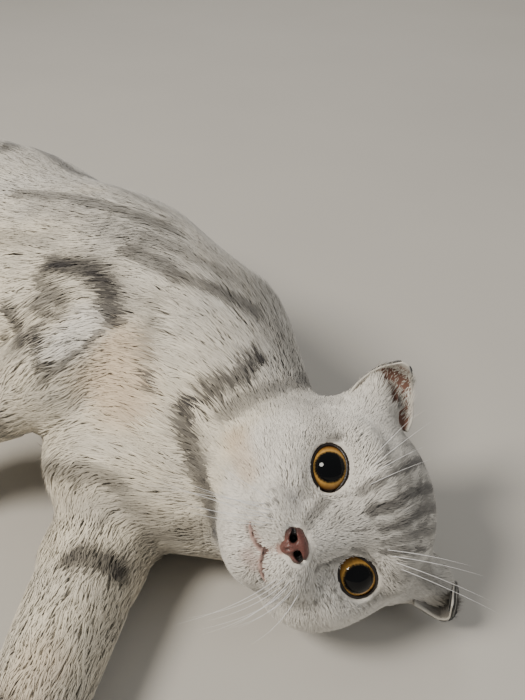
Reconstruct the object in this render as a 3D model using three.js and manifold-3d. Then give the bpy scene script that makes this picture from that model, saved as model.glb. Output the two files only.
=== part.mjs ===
// A Scottish Fold cat at life size, lying on its left side with its face turned up.
// Millimetres, +Z up, the floor at z = 0. Its back is towards +Y and its belly towards -Y.
// Every solid reaches out to the tips of its short coat.
import * as THREE from 'three';
import { mergeVertices } from 'three/addons/utils/BufferGeometryUtils.js';
import Module from 'manifold-3d';

const wasm = await Module();
wasm.setup();

// Gap between solids that touch, the wider gap round a leg's root, and how far a cut reaches.
const GAP = 0.3;
const FIT_GAP = 0.75;
const FAR = 600;

// Size of the cubes that each surface is worked out on.
const HEAD_CELL = 5.6;
const NOSE_CELL = 2;
const NECK_CELL = 11;
const TRUNK_CELL = 15;
const LEG_CELLS = [13, 10, 6.8];
const TAIL_CELL = 8.5;

// The head: its middle, and the directions that its nose and its left cheek point.
const HEAD_MIDDLE = [0, 6.4, 50.5];
const HEAD_FORWARD = [0.044, -0.798, 0.602];
const HEAD_LEFT = [0.247, -0.575, -0.781];

// Joints of the neck and trunk, from behind the head to the hips.
const NECK_BEND = [-48, 48, 50];
const CHEST = [-72, 92, 62];
const RIBS = [-122, 140, 65];
const LOIN = [-186, 200, 64];
const HIPS = [-240, 258, 65];

// Joints of the legs.
const RIGHT_SHOULDER = [-92, 118, 92];
const RIGHT_ELBOW = [-122, 62, 86];
const RIGHT_WRIST = [-196, 62, 50];
const RIGHT_PAW = [-226, 40, 13.2];
const LEFT_SHOULDER = [-84, 70, 40];
const LEFT_ELBOW = [-106, 6, 23];
const LEFT_WRIST = [-122, -84, 18];
const LEFT_PAW = [-128, -122, 14];
const RIGHT_HIP = [-232, 238, 84];
const RIGHT_KNEE = [-262, 176, 72];
const RIGHT_HOCK = [-352, 158, 46];
const RIGHT_FOOT = [-374, 106, 13.5];
const LEFT_HIP = [-226, 220, 38];
const LEFT_KNEE = [-228, 142, 28];
const LEFT_HOCK = [-300, 92, 15];
const LEFT_FOOT = [-318, 44, 13.5];

// The tail runs along the floor behind the hind legs.
const TAIL_POINTS = [
  [-270, 292, 44], [-310, 322, 22], [-356, 322, 14], [-402, 290, 12.5], [-428, 240, 11], [-430, 196, 7.2],
];
const TAIL_RADII = [19, 16.5, 15, 13.5, 12, 8];

// Eyes: middle, radius of the ball, and half the length and height of the opening.
const EYE_PLACE = [18.5, 20.8, 0];
const EYE_RADIUS = 11.6;
const EYE_TURN_OUT = 0.2;
const EYE_SLANT = 0.3;
const EYE_HALF_LENGTH = 9.7;
const EYE_HALF_HEIGHT = 7.6;
const LID_THICKNESS = 1.6;
const CORNEA_RADIUS = 8.6;
const CORNEA_RISE = 1.4;

// Nose leather and the line of the mouth, as left and up distances on the face.
const NOSE_POCKET = 0.9;
const NOSE_PLACE = [43.5, 0, -20.5];
const LIP_LINE = [[0, -32.5], [3.5, -34.6], [7, -35.6], [12, -36.8], [17, -37.6], [20, -36.6]];
const PHILTRUM_LINE = [[0, -24], [0, -28], [0, -32.5]];
const LIP_RADIUS = 2.1;
const MOUTH_RADIUS = 0.9;

// Ears: width, length and thickness of the flap.
const EAR_WIDTH = 31;
const EAR_LENGTH = 25.5;
const EAR_THICKNESS = 3;

// Coat colours of the pieces.
const COATS = {
  silver: [0xcfc9bd, 0.9],
  cream: [0xd8d0bc, 0.92],
  grey: [0xa8a299, 0.9],
  iris: [0x8a6230, 0.12],
  leather: [0x8a5a4c, 0.55],
};

// Small vector sums on plain arrays.
const plus = (a, b, s = 1) => [a[0] + s * b[0], a[1] + s * b[1], a[2] + s * b[2]];
const dot = (a, b) => a[0] * b[0] + a[1] * b[1] + a[2] * b[2];
const cross = (a, b) => [a[1] * b[2] - a[2] * b[1], a[2] * b[0] - a[0] * b[2], a[0] * b[1] - a[1] * b[0]];
const unit = (a) => a.map((x) => x / Math.hypot(...a));
const between = (a, b, t) => a.map((x, i) => x + (b[i] - x) * t);

// A set of axes with a middle: a point is given by its forward, left and up distances.
function axesFrom(middle, forwardWay, leftWay) {
  const forward = unit(forwardWay);
  const left = unit(plus(leftWay, forward, -dot(leftWay, forward)));
  const up = cross(forward, left);
  const out = ([f, l, u]) => plus(plus(plus(middle, forward, f), left, l), up, u);
  const inside = (p) => {
    const d = plus(p, middle, -1);
    return [dot(d, forward), dot(d, left), dot(d, up)];
  };
  return { middle, forward, left, up, out, inside };
}

const head = axesFrom(HEAD_MIDDLE, HEAD_FORWARD, HEAD_LEFT);
const room = axesFrom([0, 0, 0], [1, 0, 0], [0, 1, 0]);
const trunk = axesFrom(RIBS, plus(CHEST, LOIN, -1), [0, 0, -1]);

// One mass of the body is a function of position that is negative inside and about a distance outside.
function egg(axes, place, radii) {
  const middle = axes.out(place);
  return (p) => {
    const d = plus(p, middle, -1);
    const q = [dot(d, axes.forward) / radii[0], dot(d, axes.left) / radii[1], dot(d, axes.up) / radii[2]];
    const reach = Math.hypot(...q);
    const slope = Math.hypot(q[0] / radii[0], q[1] / radii[1], q[2] / radii[2]);
    return slope < 1e-9 ? -Math.min(...radii) : (reach * (reach - 1)) / slope;
  };
}

function limb(a, b, radiusA, radiusB) {
  const along = plus(b, a, -1);
  const square = dot(along, along);
  return (p) => {
    const d = plus(p, a, -1);
    const t = Math.min(1, Math.max(0, dot(d, along) / square));
    const off = plus(d, along, -t);
    return Math.hypot(...off) - (radiusA + (radiusB - radiusA) * t);
  };
}

const headLimb = (a, b, ra, rb) => limb(head.out(a), head.out(b), ra, rb);
const headEgg = (place, radii) => egg(head, place, radii);
const bothSides = (make) => [make(1), make(-1)];

// Masses are joined one after another, each with its own width of blend.
function joined(masses) {
  return (p) => {
    let value = masses[0].mass(p);
    for (const { mass, blend, carve } of masses.slice(1)) {
      const other = carve ? -mass(p) : mass(p);
      const mix = Math.max(blend - Math.abs(value - other), 0) / blend;
      value = carve
        ? Math.max(value, other) + (mix * mix * blend) / 4
        : Math.min(value, other) - (mix * mix * blend) / 4;
    }
    return value;
  };
}
const add = (mass, blend) => ({ mass, blend });
const hollow = (mass, blend) => ({ mass, blend, carve: true });

// Head: skull, broad cheeks, short muzzle, brows and the mounds that carry the ears.
const headMasses = [
  add(headEgg([-8, 0, 9], [44, 44, 36.5]), 0),
  ...bothSides((s) => add(headEgg([3, s * 21.5, -13], [33, 24.5, 28]), 14)),
  add(headEgg([19, 0, -36], [21, 19, 14.5]), 12),
  ...bothSides((s) => add(headEgg([31, s * 10.5, -25.5], [16.5, 13.5, 11]), 6)),
  add(headLimb([22, 0, 12], [37, 0, -17], 15, 9.5), 9),
  ...bothSides((s) => add(headEgg([19, s * 19, 15], [13, 15, 8]), 9)),
  ...bothSides((s) => hollow(headEgg([41, s * 22.5, 0], [12, 10, 9]), 9)),
  ...bothSides((s) => add(headLimb([-8, s * 33, 22], [-8, s * 42, 33], 15, 11), 10)),
];

// Neck and trunk: a chain of masses, deep at the chest and full at the hips.
const neckMasses = [
  add(limb(head.out([-16, 4, -6]), NECK_BEND, 34, 43), 0),
  add(limb(NECK_BEND, CHEST, 42, 53), 18),
];
const chestMasses = [
  add(egg(trunk, trunk.inside(CHEST), [54, 56, 59]), 0),
  add(egg(trunk, [0, 2, 2], [84, 66, 68]), 26),
  add(limb(RIGHT_SHOULDER, between(RIGHT_SHOULDER, RIGHT_ELBOW, 0.4), 38, 28), 20),
  add(egg(room, [-86, 52, 46], [50, 46, 44]), 24),
];
const bellyMasses = [
  add(limb(RIBS, LOIN, 64, 63), 0),
  add(egg(trunk, trunk.inside(LOIN), [70, 62, 64]), 26),
];
const rumpMasses = [
  add(limb(LOIN, HIPS, 62, 62), 0),
  add(limb(RIGHT_HIP, between(RIGHT_HIP, RIGHT_KNEE, 0.55), 48, 38), 22),
  add(limb(LEFT_HIP, between(LEFT_HIP, LEFT_KNEE, 0.55), 40, 33), 22),
  add(limb(HIPS, TAIL_POINTS[0], 44, 20), 20),
];
const trunkMasses = [
  ...chestMasses,
  ...bellyMasses.map((m) => ({ ...m, blend: 30 })),
  ...rumpMasses.map((m) => ({ ...m, blend: 26 })),
  ...neckMasses.map((m) => ({ ...m, blend: 26 })),
];
const trunkField = joined(trunkMasses);
const headField = joined([...headMasses, ...neckMasses.map((m) => ({ ...m, blend: 16 }))]);
const neckField = joined([...trunkMasses, ...headMasses.map((m) => ({ ...m, blend: 16 }))]);

// A field is turned into a closed surface on a grid of cubes of one size: every cube that the
// surface crosses gets one vertex, at the mean of the points where its edges cross.
const CORNERS = [0, 1, 2, 3, 4, 5, 6, 7].map((i) => [i & 1, (i >> 1) & 1, (i >> 2) & 1]);
const OPEN = 1e6;
const EDGES = [[0, 1], [2, 3], [4, 5], [6, 7], [0, 2], [1, 3], [4, 6], [5, 7], [0, 4], [1, 5], [2, 6], [3, 7]];

// A pattern of inside and outside corners is plain when the surface crosses its cube in one sheet.
function isPlain(pattern) {
  for (const inside of [1, 0]) {
    const set = CORNERS.map((_, i) => i).filter((i) => ((pattern >> i) & 1) === inside);
    if (set.length === 0) return true;
    const reached = new Set([set[0]]);
    for (let pass = 0; pass < 4; pass += 1) {
      for (const [a, b] of EDGES) {
        if (set.includes(a) && set.includes(b) && (reached.has(a) || reached.has(b))) reached.add(a).add(b);
      }
    }
    if (reached.size < set.length) return false;
  }
  for (const [a, b] of [[1, 2], [1, 4], [2, 4]]) {
    for (const c of [0, 7 - a - b]) {
      const [p, q, r, s] = [c, c + a, c + b, c + a + b].map((i) => (pattern >> i) & 1);
      if (p === s && q === r && p !== q) return false;
    }
  }
  return true;
}
const PLAIN = Array.from({ length: 256 }, (_, pattern) => isPlain(pattern));

// Where the surface would touch itself in a cube, the outside corner nearest to it is filled in.
function settle(values, count, index, cell) {
  let changed = true;
  for (let pass = 0; changed && pass < 20; pass += 1) {
    changed = false;
    for (let k = 0; k < count[2] - 1; k += 1) {
      for (let j = 0; j < count[1] - 1; j += 1) {
        for (let i = 0; i < count[0] - 1; i += 1) {
          const spots = CORNERS.map(([a, b, c]) => index(i + a, j + b, k + c));
          const pattern = spots.reduce((bits, spot, n) => bits | (values[spot] < 0 ? 1 << n : 0), 0);
          if (PLAIN[pattern]) continue;
          const outside = spots.filter((spot) => values[spot] >= 0 && values[spot] < OPEN);
          outside.sort((a, b) => values[a] - values[b]);
          if (outside.length > 0) values[outside[0]] = -0.02 * cell;
          else values[spots.find((spot) => values[spot] < 0)] = 0.02 * cell;
          changed = true;
        }
      }
    }
  }
}

function surfaceOf(field, low, high, cell, level = 0) {
  const count = low.map((x, i) => Math.ceil((high[i] - x) / cell) + 2);
  const start = low.map((x) => x - cell * 0.5);
  const index = (i, j, k) => (k * count[1] + j) * count[0] + i;
  const values = new Float64Array(count[0] * count[1] * count[2]).fill(OPEN);
  for (let k = 1; k < count[2] - 1; k += 1) {
    for (let j = 1; j < count[1] - 1; j += 1) {
      for (let i = 1; i < count[0] - 1; i += 1) {
        const p = [start[0] + i * cell, start[1] + j * cell, start[2] + k * cell];
        values[index(i, j, k)] = field(p) - level || 1e-6;
      }
    }
  }
  settle(values, count, index, cell);
  const vertexOf = new Int32Array(values.length).fill(-1);
  const positions = [];
  for (let k = 0; k < count[2] - 1; k += 1) {
    for (let j = 0; j < count[1] - 1; j += 1) {
      for (let i = 0; i < count[0] - 1; i += 1) {
        const corner = CORNERS.map(([a, b, c]) => values[index(i + a, j + b, k + c)]);
        const crossing = EDGES.filter(([a, b]) => corner[a] < 0 !== corner[b] < 0);
        if (crossing.length === 0) continue;
        let sum = [0, 0, 0];
        for (const [a, b] of crossing) {
          const t = Math.max(corner[a], corner[b]) < OPEN ? corner[a] / (corner[a] - corner[b]) : 0.5;
          sum = plus(sum, between(CORNERS[a], CORNERS[b], t));
        }
        vertexOf[index(i, j, k)] = positions.length / 3;
        const mean = sum.map((x) => x / crossing.length);
        positions.push(...mean.map((x, n) => start[n] + ([i, j, k][n] + x) * cell));
      }
    }
  }
  const faces = [];
  for (let k = 0; k < count[2] - 1; k += 1) {
    for (let j = 0; j < count[1] - 1; j += 1) {
      for (let i = 0; i < count[0] - 1; i += 1) {
        const here = values[index(i, j, k)] < 0;
        for (let axis = 0; axis < 3; axis += 1) {
          const step = [0, 0, 0];
          step[axis] = 1;
          const there = values[index(i + step[0], j + step[1], k + step[2])] < 0;
          if (here === there) continue;
          const a = [0, 0, 0];
          const b = [0, 0, 0];
          a[(axis + 1) % 3] = -1;
          b[(axis + 2) % 3] = -1;
          const at = (d) => vertexOf[index(i + d[0], j + d[1], k + d[2])];
          const quad = [at([0, 0, 0]), at(a), at(plus(a, b)), at(b)];
          if (!here) quad.reverse();
          faces.push(quad[0], quad[1], quad[2], quad[0], quad[2], quad[3]);
        }
      }
    }
  }
  return solidFrom(positions, faces);
}

// Closed triangle lists and three.js geometries become solids that can be cut and joined.
function solidFrom(positions, faces) {
  const mesh = new wasm.Mesh({
    numProp: 3,
    vertProperties: new Float32Array(positions),
    triVerts: new Uint32Array(faces),
  });
  return new wasm.Manifold(mesh);
}

function solidOf(geometry, matrix = new THREE.Matrix4()) {
  const plain = geometry.clone().applyMatrix4(matrix);
  plain.deleteAttribute('normal');
  plain.deleteAttribute('uv');
  const whole = mergeVertices(plain, 1e-4);
  return solidFrom(whole.attributes.position.array, whole.index.array);
}

const largestOf = (solid) => solid.decompose().sort((a, b) => b.volume() - a.volume())[0];

// A block that fills all on the far side of a plane through a point, seen along its normal.
function beyond(point, normal) {
  const turn = new THREE.Quaternion().setFromUnitVectors(
    new THREE.Vector3(0, 0, 1),
    new THREE.Vector3(...unit(normal)),
  );
  const middle = plus(point, unit(normal), FAR / 2);
  const matrix = new THREE.Matrix4().compose(new THREE.Vector3(...middle), turn, new THREE.Vector3(1, 1, 1));
  return solidOf(new THREE.BoxGeometry(FAR * 2, FAR * 2, FAR), matrix);
}

// Each cut plane lies between two neighbours and leaves the gap between their flat faces.
const before = (solid, { point, normal }) => solid.subtract(beyond(plus(point, unit(normal), -GAP / 2), normal));
const after = (solid, { point, normal }) => {
  const back = normal.map((x) => -x);
  return solid.subtract(beyond(plus(point, unit(normal), GAP / 2), back));
};
const aboveFloor = (solid) => solid.subtract(beyond([0, 0, 0], [0, 0, -1]));

const cutAcross = (a, b, t) => ({ point: between(a, b, t), normal: unit(plus(b, a, -1)) });
const NECK_CUT = { point: head.out([-17, -4, -22]), normal: [-0.62, 0.66, -0.22] };
const CHEST_CUT = { point: [-50, 66, 60], normal: [-0.64, 0.76, 0.02] };
const BELLY_CUT = cutAcross(RIBS, LOIN, 0.22);
const RUMP_CUT = cutAcross(LOIN, HIPS, 0.12);

// A swept tube with closed ends, for the lips and the line of the mouth.
function tube(points, radius, sides = 8, steps = 4) {
  const path = new THREE.CatmullRomCurve3(points.map((p) => new THREE.Vector3(...p)), false, 'centripetal');
  const ring = new THREE.Shape();
  ring.absarc(0, 0, radius, 0, Math.PI * 2, false);
  const rings = { steps: (points.length - 1) * steps, bevelEnabled: false, curveSegments: sides, extrudePath: path };
  return solidOf(new THREE.ExtrudeGeometry(ring, rings));
}

// The point on the face that has the given left and up distances, found by halving.
const faceField = joined(headMasses);
function onFace(left, up, lift = 0) {
  let inner = 0;
  let outer = 70;
  for (let i = 0; i < 30; i += 1) {
    const middle = (inner + outer) / 2;
    if (faceField(head.out([middle, left, up])) < 0) inner = middle;
    else outer = middle;
  }
  return head.out([inner + lift, left, up]);
}

// Axes of one eye: out of the socket, towards the outer corner, and across.
function eyeAxes(side) {
  const [f, l, u] = EYE_PLACE;
  const look = [Math.cos(EYE_TURN_OUT), side * Math.sin(EYE_TURN_OUT), 0.05];
  const outer = [0, side * Math.cos(EYE_SLANT), Math.sin(EYE_SLANT)];
  const inRoom = (d) => plus(head.out(d), head.middle, -1);
  const axes = axesFrom(head.out([f, side * l, u]), inRoom(look), inRoom(outer));
  return axes;
}

function matrixOf(axes, shift = [0, 0, 0]) {
  const columns = [axes.left, axes.up, axes.forward].map((v) => new THREE.Vector3(...v));
  const matrix = new THREE.Matrix4().makeBasis(...columns);
  return matrix.setPosition(...axes.out(shift));
}

// Eyeball: a ball with the clear front bulging a little, turned about its own axis.
function eyeBall(side) {
  const axes = eyeAxes(side);
  const profile = [];
  const steps = 10;
  for (let i = 0; i <= steps; i += 1) {
    const angle = (Math.PI * i) / steps;
    const across = EYE_RADIUS * Math.sin(angle);
    const rise = angle > Math.PI / 2 ? CORNEA_RISE * Math.max(0, 1 - (across / CORNEA_RADIUS) ** 2) : 0;
    profile.push(new THREE.Vector2(i % steps === 0 ? 0 : across, -EYE_RADIUS * Math.cos(angle) + rise));
  }
  const upright = new THREE.Matrix4().makeRotationX(Math.PI / 2);
  return solidOf(new THREE.LatheGeometry(profile, 16), matrixOf(axes).multiply(upright));
}

// Lids: a thick shell over the ball, open along an almond that points to the inner corner.
function lidded(solid, side) {
  const axes = eyeAxes(side);
  const outerLid = solidOf(new THREE.SphereGeometry(EYE_RADIUS + LID_THICKNESS, 18, 12), matrixOf(axes));
  const socket = solidOf(new THREE.SphereGeometry(EYE_RADIUS + 2 * GAP, 16, 12), matrixOf(axes));
  const almond = new THREE.Shape();
  const corners = 16;
  for (let i = 0; i < corners; i += 1) {
    const angle = (2 * Math.PI * i) / corners;
    const inner = Math.cos(angle) < 0 ? 1 + 0.22 * Math.cos(angle) ** 6 : 1;
    const x = EYE_HALF_LENGTH * inner * Math.cos(angle);
    const y = EYE_HALF_HEIGHT * Math.sin(angle) * side;
    if (i === 0) almond.moveTo(x, y);
    else almond.lineTo(x, y);
  }
  const opening = solidOf(
    new THREE.ExtrudeGeometry(almond, { depth: EYE_RADIUS * 2, bevelEnabled: false }),
    matrixOf(axes, [0, 0, 0]),
  );
  return solid.add(outerLid).subtract(socket).subtract(opening);
}

// Nose leather: a low pad with a wing over each nostril, and a groove down its middle.
const nosePad = joined([
  add(headEgg(NOSE_PLACE, [6.2, 7.4, 5.2]), 0),
  ...bothSides((s) => add(headEgg(plus(NOSE_PLACE, [0.6, s * 4.6, -0.4]), [4.8, 3.4, 3.8]), 2)),
]);
const noseField = joined([
  { mass: nosePad, blend: 0 },
  ...bothSides((s) => hollow(
    headLimb(plus(NOSE_PLACE, [7.5, s * 3.6, -1.2]), plus(NOSE_PLACE, [0.5, s * 6.2, 0.8]), 1.5, 1),
    1,
  )),
  hollow(headLimb(plus(NOSE_PLACE, [7, 0, -3]), plus(NOSE_PLACE, [3, 0, -6]), 0.8, 0.8), 1),
]);

// The two ears, as sheets with a width and a length that bend along both.
// Each setting gives the middle of the root, turns the flap there, and says how it folds over.
const EARS = {
  right: {
    side: -1, root: [-4.5, -38, 32.5], rise: 0.73, lean: -0.65, turn: -0.04,
    fold: 1.12, foldAt: 0.53, cup: 1.17, sway: 0.03,
  },
  left: {
    side: 1, root: [-8, 40.5, 33.5], rise: 0.74, lean: -0.52, turn: -0.66,
    fold: 2.2, foldAt: 0.47, cup: 0.84, sway: 0.55,
  },
};

// Mid surface of an ear at s across, from -1 in front to 1 behind, and t from root to tip.
function earSheet(ear) {
  const { side, root, rise, lean, turn, fold, foldAt, cup, sway } = ear;
  const upWay = [lean * 0.4, side * Math.cos(rise), Math.sin(rise)];
  const frontWay = [Math.cos(turn), side * Math.sin(turn) * 0.6, -Math.sin(turn)];
  const up = unit(upWay);
  const front = unit(plus(frontWay, up, -dot(frontWay, up)));
  const across = cross(up, front).map((x) => x * side);
  return (s, t) => {
    const half = (EAR_WIDTH / 2) * Math.max(0.1, 1 - Math.max(0, t) ** 1.5 * 0.9);
    const bend = cup * (1 - 0.45 * Math.max(0, t));
    const angle = s * bend;
    const wide = (half * Math.sin(angle)) / Math.sin(Math.max(bend, 0.2)) + sway * EAR_LENGTH * Math.max(0, t) ** 1.5;
    const deep = half * (Math.cos(angle) - Math.cos(bend)) * 0.55;
    const soft = 0.2;
    const over = Math.max(0, Math.min(1, (t - foldAt + soft) / (2 * soft)));
    const flex = fold * over * over * (3 - 2 * over);
    const steps = 12;
    let high = 0;
    let forth = 0;
    for (let i = 0; i < steps; i += 1) {
      const here = (t * (i + 0.5)) / steps;
      const o = Math.max(0, Math.min(1, (here - foldAt + soft) / (2 * soft)));
      const a = fold * o * o * (3 - 2 * o);
      high += (Math.cos(a) * t * EAR_LENGTH) / steps;
      forth += (Math.sin(a) * t * EAR_LENGTH) / steps;
    }
    const off = [
      forth - deep * Math.cos(flex),
      wide,
      high + deep * Math.sin(flex),
    ];
    return plus(plus(plus(root, front, off[0]), across, off[1]), up, off[2]);
  };
}

function earShell(ear, thickness, tStart) {
  const sheet = earSheet(ear);
  const wide = 8;
  const long = 8;
  const positions = [];
  for (const face of [1, -1]) {
    for (let j = 0; j <= long; j += 1) {
      for (let i = 0; i <= wide; i += 1) {
        const s = -1 + (2 * i) / wide;
        const t = tStart + ((1 - tStart) * j) / long;
        const step = 0.01;
        const ds = plus(sheet(s + step, t), sheet(s - step, t), -1);
        const dt = plus(sheet(s, t + step), sheet(s, t - step), -1);
        const normal = unit(cross(ds, dt));
        const thin = thickness * (1 - 0.45 * Math.abs(s) ** 3) * (1 - 0.35 * Math.max(0, t));
        positions.push(...head.out(plus(sheet(s, t), normal, (face * thin) / 2)));
      }
    }
  }
  const row = wide + 1;
  const layer = row * (long + 1);
  const faces = [];
  const quad = (a, b, c, d) => faces.push(a, b, c, a, c, d);
  for (let j = 0; j < long; j += 1) {
    for (let i = 0; i < wide; i += 1) {
      const a = j * row + i;
      quad(a, a + 1, a + row + 1, a + row);
      faces.push(a + layer, a + layer + row + 1, a + layer + 1, a + layer, a + layer + row, a + layer + row + 1);
    }
  }
  const rim = [];
  for (let i = 0; i < wide; i += 1) rim.push(i);
  for (let j = 0; j < long; j += 1) rim.push(j * row + wide);
  for (let i = wide; i > 0; i -= 1) rim.push(long * row + i);
  for (let j = long; j > 0; j -= 1) rim.push(j * row);
  rim.forEach((a, n) => {
    const b = rim[(n + 1) % rim.length];
    faces.push(b, a, a + layer, b, a + layer, b + layer);
  });
  const solid = solidFrom(positions, faces);
  if (solid.volume() > 0) return solid;
  for (let n = 0; n < faces.length; n += 3) [faces[n + 1], faces[n + 2]] = [faces[n + 2], faces[n + 1]];
  return solidFrom(positions, faces);
}

const EAR_SINK = -0.16;
const ear = (name) => earShell(EARS[name], EAR_THICKNESS, EAR_SINK);
const earSocket = (name) => earShell(EARS[name], EAR_THICKNESS + 2 * GAP + 0.3, EAR_SINK - 0.02);

// The head with its lids, lips, mouth and the pockets for the nose and the ears.
function headSolid() {
  const low = [-70, -60, -8];
  const high = [66, 70, 120];
  let solid = surfaceOf(headField, low, high, HEAD_CELL);
  solid = before(solid, NECK_CUT);
  for (const side of [1, -1]) solid = lidded(solid, side);
  const lipPath = (lift) => {
    const leftHalf = LIP_LINE.map(([l, u]) => onFace(l, u, lift));
    const rightHalf = LIP_LINE.slice(1).map(([l, u]) => onFace(-l, u, lift)).reverse();
    return [...rightHalf, ...leftHalf];
  };
  solid = solid.add(tube(lipPath(-1), LIP_RADIUS, 6, 1));
  solid = solid.subtract(tube(lipPath(0.7), MOUTH_RADIUS, 6, 1));
  const philtrum = PHILTRUM_LINE.map(([l, u]) => onFace(l, u, 0.2));
  solid = solid.subtract(tube(philtrum, MOUTH_RADIUS * 0.8, 6, 2));
  solid = solid.subtract(noseSolid(nosePad, NOSE_POCKET));
  for (const name of ['left', 'right']) solid = solid.subtract(earSocket(name));
  return largestOf(aboveFloor(solid));
}

function noseSolid(field, level) {
  const reach = 14;
  const middle = head.out(NOSE_PLACE);
  return surfaceOf(field, middle.map((x) => x - reach), middle.map((x) => x + reach), NOSE_CELL, level);
}

// The trunk a little larger all round, which is cut out of the roots of the legs and the tail.
const TRUNK_LOW = [-330, -20, -30];
const TRUNK_HIGH = [30, 345, 160];
const NECK_LOW = [-120, -40, -6];
const NECK_HIGH = [60, 130, 140];
const trunkCore = surfaceOf(trunkField, TRUNK_LOW, TRUNK_HIGH, TRUNK_CELL, FIT_GAP)
  .add(surfaceOf(neckField, NECK_LOW, NECK_HIGH, NECK_CELL, FIT_GAP));

// Legs: each a chain of joints with the radius of the limb at each joint.
const LEGS = {
  foreleg_right: {
    joints: [RIGHT_SHOULDER, RIGHT_ELBOW, RIGHT_WRIST, RIGHT_PAW],
    radii: [34, 25, 17, 15],
    names: ['upper', 'lower', 'paw'],
  },
  foreleg_left: {
    joints: [LEFT_SHOULDER, LEFT_ELBOW, LEFT_WRIST, LEFT_PAW],
    radii: [32, 24, 19, 15],
    names: ['upper', 'lower', 'paw'],
  },
  hindleg_right: {
    joints: [RIGHT_HIP, RIGHT_KNEE, RIGHT_HOCK, RIGHT_FOOT],
    radii: [44, 32, 16, 14.5],
    names: ['thigh', 'shank', 'foot'],
  },
  hindleg_left: {
    joints: [LEFT_HIP, LEFT_KNEE, LEFT_HOCK, LEFT_FOOT],
    radii: [38, 29, 16, 14.5],
    names: ['thigh', 'shank', 'foot'],
  },
};
const TOE_RADIUS = 7;
const TOE_REACH = 13;
const TOE_SPREAD = 6.6;

// The four toes of a paw fan out beyond its last joint, flat along the floor.
function toeEnds(leg) {
  const [, , wrist, paw] = leg.joints;
  const along = unit([paw[0] - wrist[0], paw[1] - wrist[1], 0]);
  const sideways = [-along[1], along[0], 0];
  return [-1.5, -0.5, 0.5, 1.5].map((n) => {
    const reach = TOE_REACH - Math.abs(n) * 2.2;
    const root = plus(paw, sideways, n * TOE_SPREAD * 0.8);
    const tip = plus(plus(root, along, reach), sideways, n * 1.6);
    tip[2] = Math.max(TOE_RADIUS - 0.8, paw[2] - 7 + (1.5 - Math.abs(n)) * 1.5);
    return { root, tip };
  });
}

function legMasses(leg) {
  const { joints, radii } = leg;
  const masses = [];
  for (let i = 0; i < 3; i += 1) masses.push(add(limb(joints[i], joints[i + 1], radii[i], radii[i + 1]), 8));
  for (const { root, tip } of toeEnds(leg)) masses.push(add(limb(root, tip, TOE_RADIUS, TOE_RADIUS), 2.5));
  return masses;
}

function boxAround(points, reach) {
  const low = [0, 1, 2].map((i) => Math.min(...points.map((p) => p[i])) - reach);
  const high = [0, 1, 2].map((i) => Math.max(...points.map((p) => p[i])) + reach);
  return [low, high];
}

// One leg as its upper part, its lower part and its paw. The upper part is cut off the trunk.
function legParts(leg) {
  const { joints, radii, names } = leg;
  const cells = LEG_CELLS;
  const field = joined(legMasses(leg));
  const kneeCut = cutAcross(joints[1], joints[2], 0.12);
  const ankleCut = cutAcross(joints[1], joints[2], 0.94);
  const pieces = {};
  const [lowA, highA] = boxAround([joints[0], joints[1]], radii[0] + 12);
  pieces[names[0]] = before(surfaceOf(field, lowA, highA, cells[0]), kneeCut).subtract(trunkCore);
  const [lowB, highB] = boxAround([joints[1], joints[2]], radii[1] + 12);
  const lower = before(surfaceOf(field, lowB, highB, cells[1]), ankleCut);
  pieces[names[1]] = after(lower, kneeCut).subtract(trunkCore);
  const [lowC, highC] = boxAround([joints[2], joints[3]], radii[3] + TOE_REACH + 12);
  pieces[names[2]] = after(surfaceOf(field, lowC, highC, cells[2]), ankleCut).subtract(trunkCore);
  return pieces;
}

// Tail: three lengths of one tapering chain.
function tailParts() {
  const masses = [];
  for (let i = 0; i < TAIL_POINTS.length - 1; i += 1) {
    masses.push(add(limb(TAIL_POINTS[i], TAIL_POINTS[i + 1], TAIL_RADII[i], TAIL_RADII[i + 1]), 6));
  }
  const field = joined(masses);
  const [low, high] = boxAround(TAIL_POINTS, TAIL_RADII[0] + 2);
  const whole = surfaceOf(field, low, high, TAIL_CELL);
  const firstCut = cutAcross(TAIL_POINTS[1], TAIL_POINTS[2], 0.7);
  const secondCut = cutAcross(TAIL_POINTS[3], TAIL_POINTS[4], 0.3);
  return {
    tail_base: before(whole, firstCut).subtract(trunkCore),
    tail_middle: before(after(whole, firstCut), secondCut),
    tail_tip: after(whole, secondCut),
  };
}

const cat = new THREE.Group();

function place(name, solid, coat) {
  const mesh = largestOf(aboveFloor(solid)).getMesh();
  const geometry = new THREE.BufferGeometry();
  geometry.setAttribute('position', new THREE.BufferAttribute(mesh.vertProperties, 3));
  geometry.setIndex(new THREE.BufferAttribute(mesh.triVerts, 1));
  geometry.computeVertexNormals();
  const [color, roughness] = COATS[coat];
  const piece = new THREE.Mesh(geometry, new THREE.MeshStandardMaterial({ color, roughness, metalness: 0 }));
  piece.name = name;
  cat.add(piece);
}

place('head', headSolid(), 'silver');
place('nose', noseSolid(noseField, 0), 'leather');
place('eye_right', eyeBall(-1), 'iris');
place('eye_left', eyeBall(1), 'iris');
place('ear_right', ear('right'), 'silver');
place('ear_left', ear('left'), 'grey');

const neckPart = surfaceOf(neckField, NECK_LOW, NECK_HIGH, NECK_CELL);
const trunkWhole = surfaceOf(trunkField, TRUNK_LOW, TRUNK_HIGH, TRUNK_CELL);
place('neck', before(after(neckPart, NECK_CUT), CHEST_CUT), 'silver');
place('chest', before(after(trunkWhole, CHEST_CUT), BELLY_CUT), 'cream');
place('belly', before(after(trunkWhole, BELLY_CUT), RUMP_CUT), 'silver');
place('rump', after(trunkWhole, RUMP_CUT), 'silver');
for (const [legName, leg] of Object.entries(LEGS)) {
  for (const [partName, solid] of Object.entries(legParts(leg))) place(`${legName}_${partName}`, solid, 'silver');
}
for (const [name, solid] of Object.entries(tailParts())) place(name, solid, 'grey');

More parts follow.
